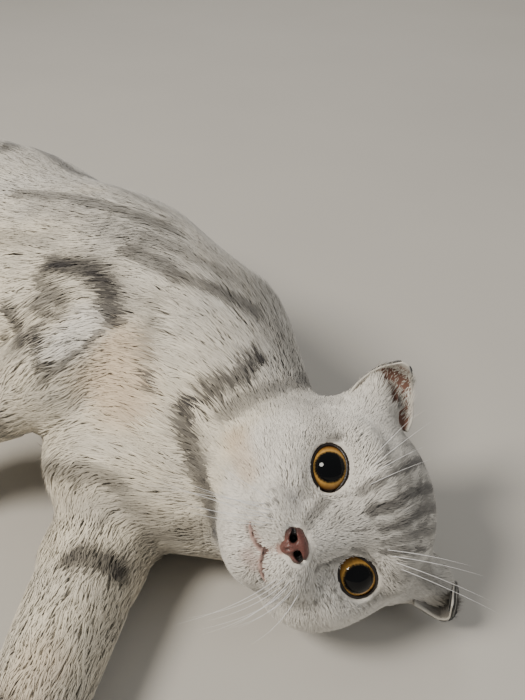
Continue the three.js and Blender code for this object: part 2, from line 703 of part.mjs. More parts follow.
// The middle of the outline stands on the origin.
const outline = new THREE.Box3().setFromObject(cat);
const middle = outline.getCenter(new THREE.Vector3());
cat.position.set(-middle.x, -middle.y, 0);

export default cat;
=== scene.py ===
"""A silver tabby Scottish Fold cat lying on its left side, life size, on a plain floor.

The body is one field: a function of position that is negative inside the coat and about the
distance outside it, in millimetres.  The skin is the surface a coat's depth inside that field,
and the coat is many flat tapered tufts that root in the skin and lie along the body.
"""

import logging
from dataclasses import dataclass, field
from enum import Enum
from typing import Callable

import bpy
import numpy as np
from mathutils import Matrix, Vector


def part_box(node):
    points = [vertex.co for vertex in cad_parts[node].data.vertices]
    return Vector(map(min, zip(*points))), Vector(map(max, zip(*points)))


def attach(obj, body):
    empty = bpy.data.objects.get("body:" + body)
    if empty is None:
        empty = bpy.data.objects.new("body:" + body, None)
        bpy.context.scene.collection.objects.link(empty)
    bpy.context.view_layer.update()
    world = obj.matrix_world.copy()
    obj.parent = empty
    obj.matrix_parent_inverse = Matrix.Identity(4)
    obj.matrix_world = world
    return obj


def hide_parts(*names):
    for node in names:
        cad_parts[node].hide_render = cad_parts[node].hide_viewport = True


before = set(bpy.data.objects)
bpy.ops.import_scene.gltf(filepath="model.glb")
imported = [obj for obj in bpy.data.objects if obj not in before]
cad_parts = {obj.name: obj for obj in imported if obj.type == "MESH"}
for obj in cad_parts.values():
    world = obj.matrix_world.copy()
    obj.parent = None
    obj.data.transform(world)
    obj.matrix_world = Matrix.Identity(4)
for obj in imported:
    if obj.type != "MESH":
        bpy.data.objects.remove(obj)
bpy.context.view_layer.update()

Array = np.ndarray
MM = 0.001
SEED = 20

# The photograph's frame, the lens in pixels, and how the camera stands to the head.
PHOTO_WIDTH = 525
PHOTO_HEIGHT = 700
LENS_PIXELS = 800.0
SENSOR_MM = 36.0
CAMERA_PITCH = np.radians(35.0)
HEAD_PIXEL = (335.0, 515.0)
HEAD_DISTANCE = 340.0
AIM = (0.0, 0.0, 55.0)

# The head: its middle, and the directions that its nose and its left cheek point.
HEAD_MIDDLE = (0.0, 6.4, 50.5)
HEAD_FORWARD = (0.044, -0.798, 0.602)
HEAD_LEFT = (0.247, -0.575, -0.781)

# Joints of the trunk, legs and tail, as in the solids.
CHEST = (-72, 92, 62)
RIBS = (-122, 140, 65)
LOIN = (-186, 200, 64)
HIPS = (-240, 258, 65)
NECK_BEND = (-48, 48, 50)
THROAT = (-86, 52, 46)
RIGHT_SHOULDER = (-92, 118, 92)
RIGHT_ELBOW = (-122, 62, 86)
RIGHT_WRIST = (-196, 62, 50)
RIGHT_PAW = (-226, 40, 13.2)
LEFT_SHOULDER = (-84, 70, 40)
LEFT_ELBOW = (-106, 6, 23)
LEFT_WRIST = (-122, -84, 18)
LEFT_PAW = (-128, -122, 14)
RIGHT_HIP = (-232, 238, 84)
RIGHT_KNEE = (-262, 176, 72)
RIGHT_HOCK = (-352, 158, 46)
RIGHT_FOOT = (-374, 106, 13.5)
LEFT_HIP = (-226, 220, 38)
LEFT_KNEE = (-228, 142, 28)
LEFT_HOCK = (-300, 92, 15)
LEFT_FOOT = (-318, 44, 13.5)
TAIL_POINTS = ((-270, 292, 44), (-310, 322, 22), (-356, 322, 14), (-402, 290, 12.5), (-428, 240, 11),
               (-430, 196, 7.2))
TAIL_RADII = (19, 16.5, 15, 13.5, 12, 8)

# Eyes: middle, ball, opening and the bulge of the clear front.
EYE_PLACE = (18.5, 20.8, 0.0)
EYE_RADIUS = 11.6
EYE_TURN_OUT = 0.2
EYE_SLANT = 0.3
EYE_HALF_LENGTH = 9.7
EYE_HALF_HEIGHT = 7.6
CORNEA_RADIUS = 8.6
CORNEA_RISE = 1.4

# Where a line of sight starts, how many steps it takes, their share of the distance, and its end.
NEAREST = 150.0
SIGHT_STEPS = 60
SIGHT_SHARE = 0.7
FARTHEST = 760.0

# Nose leather and the line of the mouth, as left and up distances on the face.
NOSE_PLACE = (43.5, 0.0, -20.5)
LIP_LINE = ((0, -32.5), (3.5, -34.4), (7, -35.2), (10.5, -35.0))
PHILTRUM_LINE = ((0, -24), (0, -28), (0, -32.5))

# How deep an eye's ring counts, the bare ring round the opening, and a ring that is far from it.
EYE_REACH = 25
BARE_RING = 1.17
FAR_RING = 9.0

# Ears: width, length and thickness of the flap.
EAR_WIDTH = 31.0
EAR_LENGTH = 25.5
EAR_SKIN = 1.3


def unit(way: Array) -> Array:
    """Vectors along the last axis, each made one long."""
    way = np.asarray(way, float)
    return way / np.maximum(np.linalg.norm(way, axis=-1, keepdims=True), 1e-9)


def smooth(low: float, high: float, value: Array) -> Array:
    """A smooth step from 0 at low to 1 at high."""
    t = np.clip((value - low) / (high - low), 0.0, 1.0)
    return t * t * (3.0 - 2.0 * t)


def mixed(a: Array, b: Array, t: Array) -> Array:
    """Values that go from a to b as t goes from 0 to 1."""
    return a + (b - a) * t


@dataclass(frozen=True)
class Axes:
    """A middle with forward, left and up directions at right angles."""

    middle: tuple
    forward_way: tuple
    left_way: tuple

    @property
    def turn(self) -> Array:
        """The three directions as the rows of a matrix."""
        forward = unit(self.forward_way)
        left = np.asarray(self.left_way, float)
        left = unit(left - forward * (left @ forward))
        return np.array([forward, left, np.cross(forward, left)])

    def out(self, place: Array) -> Array:
        """Points in the room from forward, left and up distances."""
        return np.asarray(self.middle, float) + np.asarray(place, float) @ self.turn

    def inside(self, points: Array) -> Array:
        """Forward, left and up distances from points in the room."""
        return (points - np.asarray(self.middle, float)) @ self.turn.T

    def ways(self, place: Array) -> Array:
        """Directions in the room from directions along these axes."""
        return np.asarray(place, float) @ self.turn


HEAD = Axes(HEAD_MIDDLE, HEAD_FORWARD, HEAD_LEFT)
ROOM = Axes((0, 0, 0), (1, 0, 0), (0, 1, 0))
TRUNK = Axes(RIBS, tuple(np.subtract(CHEST, LOIN)), (0, 0, -1))


@dataclass(frozen=True)
class Egg:
    """An ellipsoid with its radii along a set of axes."""

    axes: Axes
    place: tuple
    radii: tuple

    def value(self, points: Array) -> Array:
        """Scaled distance: reach times (reach - 1) over its slope.

        Args:
            points: Positions in millimetres, one a row.

        Returns:
            About the distance outside the egg, negative inside.
        """
        q = (self.axes.inside(points) - np.array(self.place, np.float32)) / np.array(self.radii)
        reach = np.sqrt((q * q).sum(-1))
        slope = np.sqrt(((q / np.array(self.radii)) ** 2).sum(-1))
        return reach * (reach - 1.0) / np.maximum(slope, 1e-6)


@dataclass(frozen=True)
class Limb:
    """A round rod between two points whose radius changes evenly along it."""

    start: tuple
    end: tuple
    start_radius: float
    end_radius: float

    def along(self, points: Array) -> tuple[Array, Array]:
        """The share of the way along, and the distance from the middle line.

        Args:
            points: Positions in millimetres, one a row.

        Returns:
            The share from 0 to 1 and the distance, one of each for every point.
        """
        start = np.array(self.start, np.float64)
        way = np.array(self.end, np.float64) - start
        offset = points - start
        t = np.clip(offset @ way / (way @ way), 0.0, 1.0)
        away = offset - t[..., None] * way
        return t, np.sqrt((away * away).sum(-1))

    def value(self, points: Array) -> Array:
        """Distance from the middle line less the radius there."""
        t, distance = self.along(points)
        return distance - (self.start_radius + (self.end_radius - self.start_radius) * t)


@dataclass(frozen=True)
class Mass:
    """A shape that is joined to the masses before it, or carved out of them."""

    shape: Egg | Limb
    blend: float
    carve: bool = False


def blended(a: Array, b: Array, width: float) -> Array:
    """The lower of two fields, rounded over a width where they meet."""
    return np.minimum(a, b) - np.maximum(width - np.abs(a - b), 0.0) ** 2 / (4.0 * width)


def carved(a: Array, b: Array, width: float) -> Array:
    """The higher of two fields, rounded over a width where they meet."""
    return np.maximum(a, b) + np.maximum(width - np.abs(a - b), 0.0) ** 2 / (4.0 * width)


def joined(masses: list[Mass], points: Array, value: Array | None = None) -> Array:
    """Join masses one after another, each with its own width of blend.

    Args:
        masses: The masses, in order.
        points: Positions in millimetres, one a row.
        value: The field so far, or nothing.

    Returns:
        The field at every point.
    """
    for mass in masses:
        other = mass.shape.value(points)
        if value is None:
            value = other
        elif mass.carve:
            value = carved(value, -other, mass.blend)
        else:
            value = blended(value, other, mass.blend)
    return value


def toward(a: tuple, b: tuple, t: float) -> tuple:
    """The point a share t of the way from a to b."""
    return tuple(np.asarray(a, float) + (np.subtract(b, a)) * t)


def head_limb(a: tuple, b: tuple, ra: float, rb: float) -> Limb:
    """A rod given by forward, left and up distances in the head."""
    return Limb(tuple(HEAD.out(a)), tuple(HEAD.out(b)), ra, rb)


SIDES = (1, -1)

HEAD_MASSES = [
    Mass(Egg(HEAD, (-8, 0, 9), (44, 44, 36.5)), 1),
    *(Mass(Egg(HEAD, (3, s * 21.5, -13), (33, 24.5, 28)), 14) for s in SIDES),
    Mass(Egg(HEAD, (19, 0, -36), (21, 19, 14.5)), 12),
    *(Mass(Egg(HEAD, (31, s * 10.5, -25.5), (16.5, 13.5, 11)), 6) for s in SIDES),
    Mass(head_limb((22, 0, 12), (37, 0, -17), 15, 9.5), 9),
    *(Mass(Egg(HEAD, (19, s * 19, 15), (13, 15, 8)), 9) for s in SIDES),
    *(Mass(Egg(HEAD, (41, s * 22.5, 0), (12, 10, 9)), 9, True) for s in SIDES),
    *(Mass(head_limb((-8, s * 33, 22), (-8, s * 42, 33), 15, 11), 10) for s in SIDES),
]

TRUNK_MASSES = [
    Mass(Egg(TRUNK, tuple(TRUNK.inside(np.array(CHEST, float))), (54, 56, 59)), 1),
    Mass(Egg(TRUNK, (0, 2, 2), (84, 66, 68)), 26),
    Mass(Limb(RIGHT_SHOULDER, toward(RIGHT_SHOULDER, RIGHT_ELBOW, 0.4), 38, 28), 20),
    Mass(Egg(ROOM, THROAT, (50, 46, 44)), 24),
    Mass(Limb(RIBS, LOIN, 64, 63), 30),
    Mass(Egg(TRUNK, tuple(TRUNK.inside(np.array(LOIN, float))), (70, 62, 64)), 30),
    Mass(Limb(LOIN, HIPS, 62, 62), 26),
    Mass(Limb(RIGHT_HIP, toward(RIGHT_HIP, RIGHT_KNEE, 0.55), 48, 38), 26),
    Mass(Limb(LEFT_HIP, toward(LEFT_HIP, LEFT_KNEE, 0.55), 40, 33), 26),
    Mass(Limb(HIPS, TAIL_POINTS[0], 44, 20), 26),
    Mass(Limb(tuple(HEAD.out((-16, 4, -6))), NECK_BEND, 34, 43), 26),
    Mass(Limb(NECK_BEND, CHEST, 42, 53), 26),
]


@dataclass(frozen=True)
class Leg:
    """A leg: its four joints, the radius at each, and its toes."""

    name: str
    joints: tuple
    radii: tuple
    nodes: tuple
    toe_radius: float = 7.0
    toe_reach: float = 13.0
    toe_spread: float = 6.6

    def toes(self) -> list[tuple[Array, Array, Array]]:
        """Root, tip and direction of each of the four toes, as the solids have them."""
        wrist, paw = (np.array(joint, float) for joint in self.joints[2:])
        way = unit(np.array([paw[0] - wrist[0], paw[1] - wrist[1], 0.0]))
        across = np.array([-way[1], way[0], 0.0])
        ends = []
        for n in (-1.5, -0.5, 0.5, 1.5):
            root = paw + across * n * self.toe_spread * 0.8
            tip = root + way * (self.toe_reach - abs(n) * 2.2) + across * n * 1.6
            tip[2] = max(self.toe_radius - 0.8, paw[2] - 7 + (1.5 - abs(n)) * 1.5)
            ends.append((root, tip, way))
        return ends

    def bones(self) -> list[Limb]:
        """The three long stretches of the leg."""
        pairs = zip(self.joints[:-1], self.joints[1:], self.radii[:-1], self.radii[1:])
        return [Limb(a, b, ra, rb) for a, b, ra, rb in pairs]

    def masses(self) -> list[Mass]:
        """The stretches, a little apart from the trunk, and the toes."""
        widths = (14, 6, 6)
        masses = [Mass(bone, blend) for bone, blend in zip(self.bones(), widths)]
        for root, tip, _ in self.toes():
            masses.append(Mass(Limb(tuple(root), tuple(tip), self.toe_radius, self.toe_radius), 2.5))
        return masses


LEGS = [
    Leg("foreleg_right", (RIGHT_SHOULDER, RIGHT_ELBOW, RIGHT_WRIST, RIGHT_PAW), (34, 25, 17, 15),
        ("upper", "lower", "paw")),
    Leg("foreleg_left", (LEFT_SHOULDER, LEFT_ELBOW, LEFT_WRIST, LEFT_PAW), (32, 24, 19, 15),
        ("upper", "lower", "paw")),
    Leg("hindleg_right", (RIGHT_HIP, RIGHT_KNEE, RIGHT_HOCK, RIGHT_FOOT), (44, 32, 16, 14.5),
        ("thigh", "shank", "foot")),
    Leg("hindleg_left", (LEFT_HIP, LEFT_KNEE, LEFT_HOCK, LEFT_FOOT), (38, 29, 16, 14.5),
        ("thigh", "shank", "foot")),
]
TAIL_BONES = [Limb(a, b, ra, rb) for a, b, ra, rb in
              zip(TAIL_POINTS[:-1], TAIL_POINTS[1:], TAIL_RADII[:-1], TAIL_RADII[1:])]


# Widths over which the head, legs and tail are blended into the trunk, and the tail's bones together.
HEAD_BLEND = 16.0
LEG_BLEND = 6.0
TAIL_BLEND = 12.0
BONE_BLEND = 8


def tail_field(points: Array) -> Array:
    """The tail alone."""
    return joined([Mass(bone, BONE_BLEND) for bone in TAIL_BONES], points)


def body_field(points: Array) -> Array:
    """The whole cat out to the tips of its coat, as one field."""
    value = blended(joined(TRUNK_MASSES, points), joined(HEAD_MASSES, points), HEAD_BLEND)
    for leg in LEGS:
        upper, *rest = leg.masses()
        value = blended(joined([upper], points, value), joined(rest, points), LEG_BLEND)
    return blended(value, tail_field(points), TAIL_BLEND)


def surface_nets(values: Array, xs: Array, ys: Array, zs: Array) -> tuple[Array, Array]:
    """The zero surface of a field on a grid: one vertex in each cell that the surface crosses.

    Each vertex is the mean of the points where the cell's edges cross the surface, and each grid
    edge that crosses it gives one four-sided face between the four cells round that edge.

    Args:
        values: Field values at the grid's corners.
        xs: Grid places along X.
        ys: Grid places along Y.
        zs: Grid places along Z.

    Returns:
        Vertices in millimetres, and faces of four vertices each.
    """
    inside = values < 0
    counts = sum(inside[a:a - 1 or None, b:b - 1 or None, c:c - 1 or None].astype(np.int8)
                 for a in (0, 1) for b in (0, 1) for c in (0, 1))
    cells = np.argwhere((counts > 0) & (counts < 8))
    corners = np.array([[(n >> a) & 1 for a in range(3)] for n in range(8)])
    corner_values = np.stack([values[tuple((cells + corner).T)] for corner in corners], 1)
    total = np.zeros((len(cells), 3))
    crossings = np.zeros(len(cells))
    for a in range(8):
        for axis in range(3):
            if corners[a][axis]:
                continue
            b = a | (1 << axis)
            va, vb = corner_values[:, a], corner_values[:, b]
            cross = (va < 0) != (vb < 0)
            share = np.where(cross, va / np.where(cross, va - vb, 1.0), 0.0)
            total += cross[:, None] * (corners[a] + share[:, None] * np.eye(3)[axis])
            crossings += cross
    spot = cells + total / crossings[:, None]
    grids = (xs, ys, zs)
    vertices = np.stack([np.interp(spot[:, n], np.arange(len(grids[n])), grids[n]) for n in range(3)], 1)
    number = np.full(values.shape, -1, np.int64)
    number[tuple(cells.T)] = np.arange(len(cells))
    faces = []
    for axis in range(3):
        first = np.take(inside, range(values.shape[axis] - 1), axis)
        second = np.take(inside, range(1, values.shape[axis]), axis)
        edges = np.argwhere(first != second)
        step_a, step_b = np.eye(3, dtype=int)[(axis + 1) % 3], np.eye(3, dtype=int)[(axis + 2) % 3]
        quad = np.stack([number[tuple((edges - offset).T)]
                         for offset in (np.zeros(3, int), step_a, step_a + step_b, step_b)], 1)
        outward = first[tuple(edges.T)]
        quad[~outward] = quad[~outward][:, ::-1]
        faces.append(quad)
    return vertices, np.concatenate(faces)


def slopes(value: Callable[[Array], Array], points: Array, step: float = 0.4) -> Array:
    """The direction in which a field rises, from differences along each axis."""
    parts = [value(points + way) - value(points - way) for way in np.eye(3) * step]
    return unit(np.stack(parts, -1))


def wavy(points: Array, size: float, seed: int, layers: int = 3) -> Array:
    """Smooth noise between about -1 and 1: a sum of sine waves in random directions.

    Args:
        points: Positions in millimetres, one a row.
        size: Length of the longest waves.
        seed: Number that fixes the draw.
        layers: How many times the waves are halved in length.

    Returns:
        One value for each point.
    """
    draw = np.random.default_rng(seed)
    total = np.zeros(len(points))
    for layer in range(layers):
        for _ in range(5):
            way = unit(draw.normal(size=3)) * 2.0 * np.pi / size * 2.0 ** layer
            bend = draw.uniform(0, 2 * np.pi)
            total += np.sin(points @ way * draw.uniform(0.7, 1.4) + bend) * 0.55 ** layer
    return total / 3.2


def linear(red: float, green: float, blue: float) -> Array:
    """A colour of screen values from 0 to 255 as light values."""
    share = np.array([red, green, blue]) / 255.0
    return np.where(share <= 0.04045, share / 12.92, ((share + 0.055) / 1.055) ** 2.4)


class PhotoCamera:
    """Where the photograph was taken from, and what each of its pixels sees."""

    def __init__(self) -> None:
        """Place the camera from the head's pixel, its distance and the tilt."""
        self.forward = np.array([0.0, np.cos(CAMERA_PITCH), -np.sin(CAMERA_PITCH)])
        self.right = np.array([1.0, 0.0, 0.0])
        self.up = np.array([0.0, np.sin(CAMERA_PITCH), np.cos(CAMERA_PITCH)])
        self.place = np.array(AIM) - HEAD_DISTANCE * self.way(np.array([HEAD_PIXEL]))[0]

    def way(self, pixels: Array) -> Array:
        """Directions of the lines of sight through pixels."""
        across = (pixels[:, :1] - PHOTO_WIDTH / 2) / LENS_PIXELS
        down = (pixels[:, 1:] - PHOTO_HEIGHT / 2) / LENS_PIXELS
        return self.forward + across * self.right - down * self.up

    def touch(self, pixels: Array, value: Callable[[Array], Array]) -> Array:
        """Where lines of sight meet a field, by stepping along them by its value.

        Args:
            pixels: Places in the photograph, one a row.
            value: The field that is met.

        Returns:
            The points met, in millimetres.
        """
        ways = unit(self.way(np.asarray(pixels, float)))
        far = np.full(len(ways), NEAREST)
        for _ in range(SIGHT_STEPS):
            far = np.minimum(far + SIGHT_SHARE * value(self.place + far[:, None] * ways), FARTHEST)
        return self.place + far[:, None] * ways

    def build(self, shift: Array) -> None:
        """Make the scene's camera.

        Args:
            shift: From the head's frame to the model's, in millimetres.
        """
        data = bpy.data.cameras.new("camera")
        data.sensor_width = SENSOR_MM
        data.lens = LENS_PIXELS * SENSOR_MM / max(PHOTO_WIDTH, PHOTO_HEIGHT)
        data.clip_start = 0.01
        camera = bpy.data.objects.new("camera", data)
        camera.location = (self.place + shift) * MM
        camera.rotation_euler = (np.pi / 2 - CAMERA_PITCH, 0.0, 0.0)
        bpy.context.scene.collection.objects.link(camera)
        bpy.context.scene.camera = camera


PHOTO = PhotoCamera()


class Palette(Enum):
    """Named colours, each with red, green and blue from 0 to 255."""

    @property
    def light(self) -> Array:
        """The colour as light values."""
        return linear(*self.value)


class Tint(Palette):
    """Colours of the coat."""

    SILVER = (212, 207, 196)
    SMOKE = (150, 145, 136)
    STRIPE_AND_FOLD_SHADE = (38, 34, 33)
    CREAM = (222, 211, 188)
    WHITE = (228, 223, 213)
    TAN = (196, 166, 130)
    BLUSH = (170, 126, 114)


class EarTint(Palette):
    """Colours of the ears."""

    BACK = (150, 145, 138)
    RIM = (206, 201, 190)
    CUP = (122, 90, 78)
    HAIR = (212, 205, 192)


class EyeTint(Palette):
    """Colours of the eyes and their lids."""

    PUPIL = (4, 5, 7)
    INNER_IRIS = (196, 158, 86)
    IRIS = (178, 134, 66)
    OUTER_IRIS = (92, 58, 26)
    IRIS_RIM = (26, 18, 12)
    BALL = (40, 30, 24)
    LID = (30, 21, 17)


class BareTint(Palette):
    """Colours of the bare skin of the mouth and nose, with painted shade in the nostrils and, in part, along
    the mouth's groove.
    """

    LIP = (186, 158, 148)
    SLIT = (70, 50, 47)
    NOSE = (112, 68, 60)
    NOSE_EDGE = (72, 44, 40)
    NOSTRIL_SHADE = (14, 9, 8)


@dataclass(frozen=True)
class PathMark:
    """A marking of the coat, or painted shade in a fold, along a path given by pixels of the photograph that
    it crosses.
    """

    path: tuple
    width: float
    strength: float
    tint: Tint = Tint.STRIPE_AND_FOLD_SHADE


# Dark lines of the coat that the photograph shows, and painted shade along the folds of the neck and a crease
# of the brow, each as a short path with its half width in millimetres.
SEEN_STRIPES_AND_FOLD_SHADE = (
    # Neck and cheek: painted shade in the folds and creases of the neck.
    PathMark(((262, 358), (245, 372), (215, 390), (190, 405), (186, 425), (192, 455), (204, 495), (212, 540)),
           4.2, 0.95),
    PathMark(((318, 380), (285, 384), (250, 395), (224, 413)), 4.7, 0.65),
    PathMark(((340, 402), (325, 398), (312, 404)), 3.3, 0.3),
    PathMark(((186, 425), (196, 460)), 5.2, 0.45),
    # Crown and forehead.
    PathMark(((362, 490), (384, 480), (402, 470)), 2.2, 0.78),
    PathMark(((402, 470), (416, 462), (428, 462)), 3.1, 0.9),
    PathMark(((372, 512), (392, 504), (412, 494), (432, 488)), 2.9, 0.9),
    PathMark(((380, 530), (400, 526), (420, 512), (436, 508)), 2.9, 0.84),
    PathMark(((356, 532), (376, 530)), 1.3, 0.72),
    PathMark(((384, 543), (408, 536), (436, 528)), 2.4, 0.66),
    PathMark(((414, 440), (424, 452)), 2.4, 0.6),
    # A dark line of the brow along a crease, partly painted shade in the crease.
    PathMark(((381, 553), (410, 550), (436, 549)), 1.1, 0.84),
    PathMark(((400, 575), (425, 570), (440, 590)), 4.4, 0.36),
    # Beside the eyes and the nose.
    PathMark(((326, 500), (318, 508), (309, 520)), 2.4, 0.6),
    PathMark(((309, 520), (304, 530)), 1.8, 0.54),
    PathMark(((306, 478), (303, 490)), 3.3, 0.42),
    PathMark(((344, 560), (330, 566), (318, 570)), 2.4, 0.72),
    PathMark(((330, 438), (338, 436)), 1.7, 0.66),
    PathMark(((352, 552), (364, 556), (378, 572)), 1.3, 0.48),
    # Flank and back.
    PathMark(((20, 192), (77, 197), (122, 208), (153, 220), (176, 230)), 5.5, 0.65),
    PathMark(((0, 150), (24, 143), (48, 152), (75, 170), (110, 182)), 6.5, 0.78),
    PathMark(((0, 128), (36, 134), (60, 147)), 4.5, 0.59),
    PathMark(((134, 251), (163, 263), (184, 279), (226, 294), (256, 312)), 5.7, 0.78),
    PathMark(((100, 178), (140, 196), (175, 215)), 3.9, 0.45),
    PathMark(((150, 236), (190, 252), (232, 280)), 4.4, 0.45),
    PathMark(((0, 235), (30, 240), (55, 236)), 5.9, 0.33),
    PathMark(((160, 300), (155, 330), (150, 352)), 4.7, 0.45),
    # Bent foreleg.
    PathMark(((54, 262), (78, 262), (102, 270), (112, 290), (114, 320)), 6.0, 0.95),
    PathMark(((42, 276), (58, 288), (72, 300)), 4.2, 0.78),
    PathMark(((40, 300), (48, 312), (60, 312)), 4.4, 0.78),
    PathMark(((8, 310), (16, 324), (24, 338)), 5.2, 0.95),
    PathMark(((40, 322), (36, 345), (44, 366)), 2.9, 0.95),
    PathMark(((110, 322), (92, 340), (66, 362), (44, 380)), 1.8, 0.78),
    PathMark(((150, 376), (150, 386)), 3.4, 0.95),
    # Stretched foreleg and chest.
    PathMark(((0, 470), (34, 462), (60, 466), (96, 474), (122, 486)), 5.2, 0.65),
    PathMark(((70, 556), (86, 552), (108, 562), (124, 572)), 6.0, 0.95),
    PathMark(((0, 560), (18, 556), (28, 548)), 5.5, 0.78),
    PathMark(((94, 528), (106, 518)), 1.8, 0.45),
    PathMark(((150, 540), (180, 536), (206, 530)), 7.2, 0.52),
    PathMark(((134, 505), (160, 520)), 6.5, 0.33),
)

# Soft patches of another tint.
SEEN_PATCHES = (
    PathMark(((110, 380), (128, 400), (120, 350)), 14.0, 0.55, Tint.TAN),
    PathMark(((235, 440), (246, 470)), 6.0, 0.45, Tint.TAN),
    PathMark(((20, 690), (40, 660)), 12.0, 0.3, Tint.TAN),
    PathMark(((398, 470), (420, 500), (424, 530), (410, 552)), 9.0, 0.5, Tint.SMOKE),
    PathMark(((345, 515), (375, 500), (395, 520), (372, 535)), 7.0, 0.34, Tint.SMOKE),
    PathMark(((395, 590), (415, 585), (425, 575)), 8.0, 0.45, Tint.SMOKE),
    PathMark(((300, 402), (318, 418), (322, 440)), 6.0, 0.32, Tint.SMOKE),
    PathMark(((40, 205), (100, 222), (150, 240), (200, 262)), 8.0, 0.45, Tint.SMOKE),
    PathMark(((210, 250), (250, 290), (290, 350)), 9.0, 0.5, Tint.SMOKE),
    PathMark(((60, 260), (100, 262), (125, 300)), 9.0, 0.5, Tint.SMOKE),
    PathMark(((70, 500), (120, 500), (150, 530)), 8.0, 0.35, Tint.SMOKE),
    PathMark(((248, 556), (254, 566)), 3.5, 0.4, Tint.BLUSH),
    PathMark(((255, 539), (247, 526)), 2.2, 0.45, Tint.BLUSH),
    PathMark(((60, 345), (90, 320)), 9.0, 0.85, Tint.WHITE),
)

# Small dark spots at the roots of the whiskers.
FRECKLES = ((283, 484), (336, 590), (342, 598), (330, 600), (322, 588), (276, 500), (270, 516), (308, 592),
            (316, 604), (300, 600), (290, 574), (284, 586), (275, 490), (268, 504))
FRECKLE_RADIUS = 1.1


def path_distance(points: Array, path: Array) -> Array:
    """The distance from points to a path of straight pieces."""
    nearest = np.full(len(points), 1e9)
    for a, b in zip(path[:-1], path[1:]):
        nearest = np.minimum(nearest, Limb(tuple(a), tuple(b), 0.0, 0.0).along(points)[1])
    return nearest


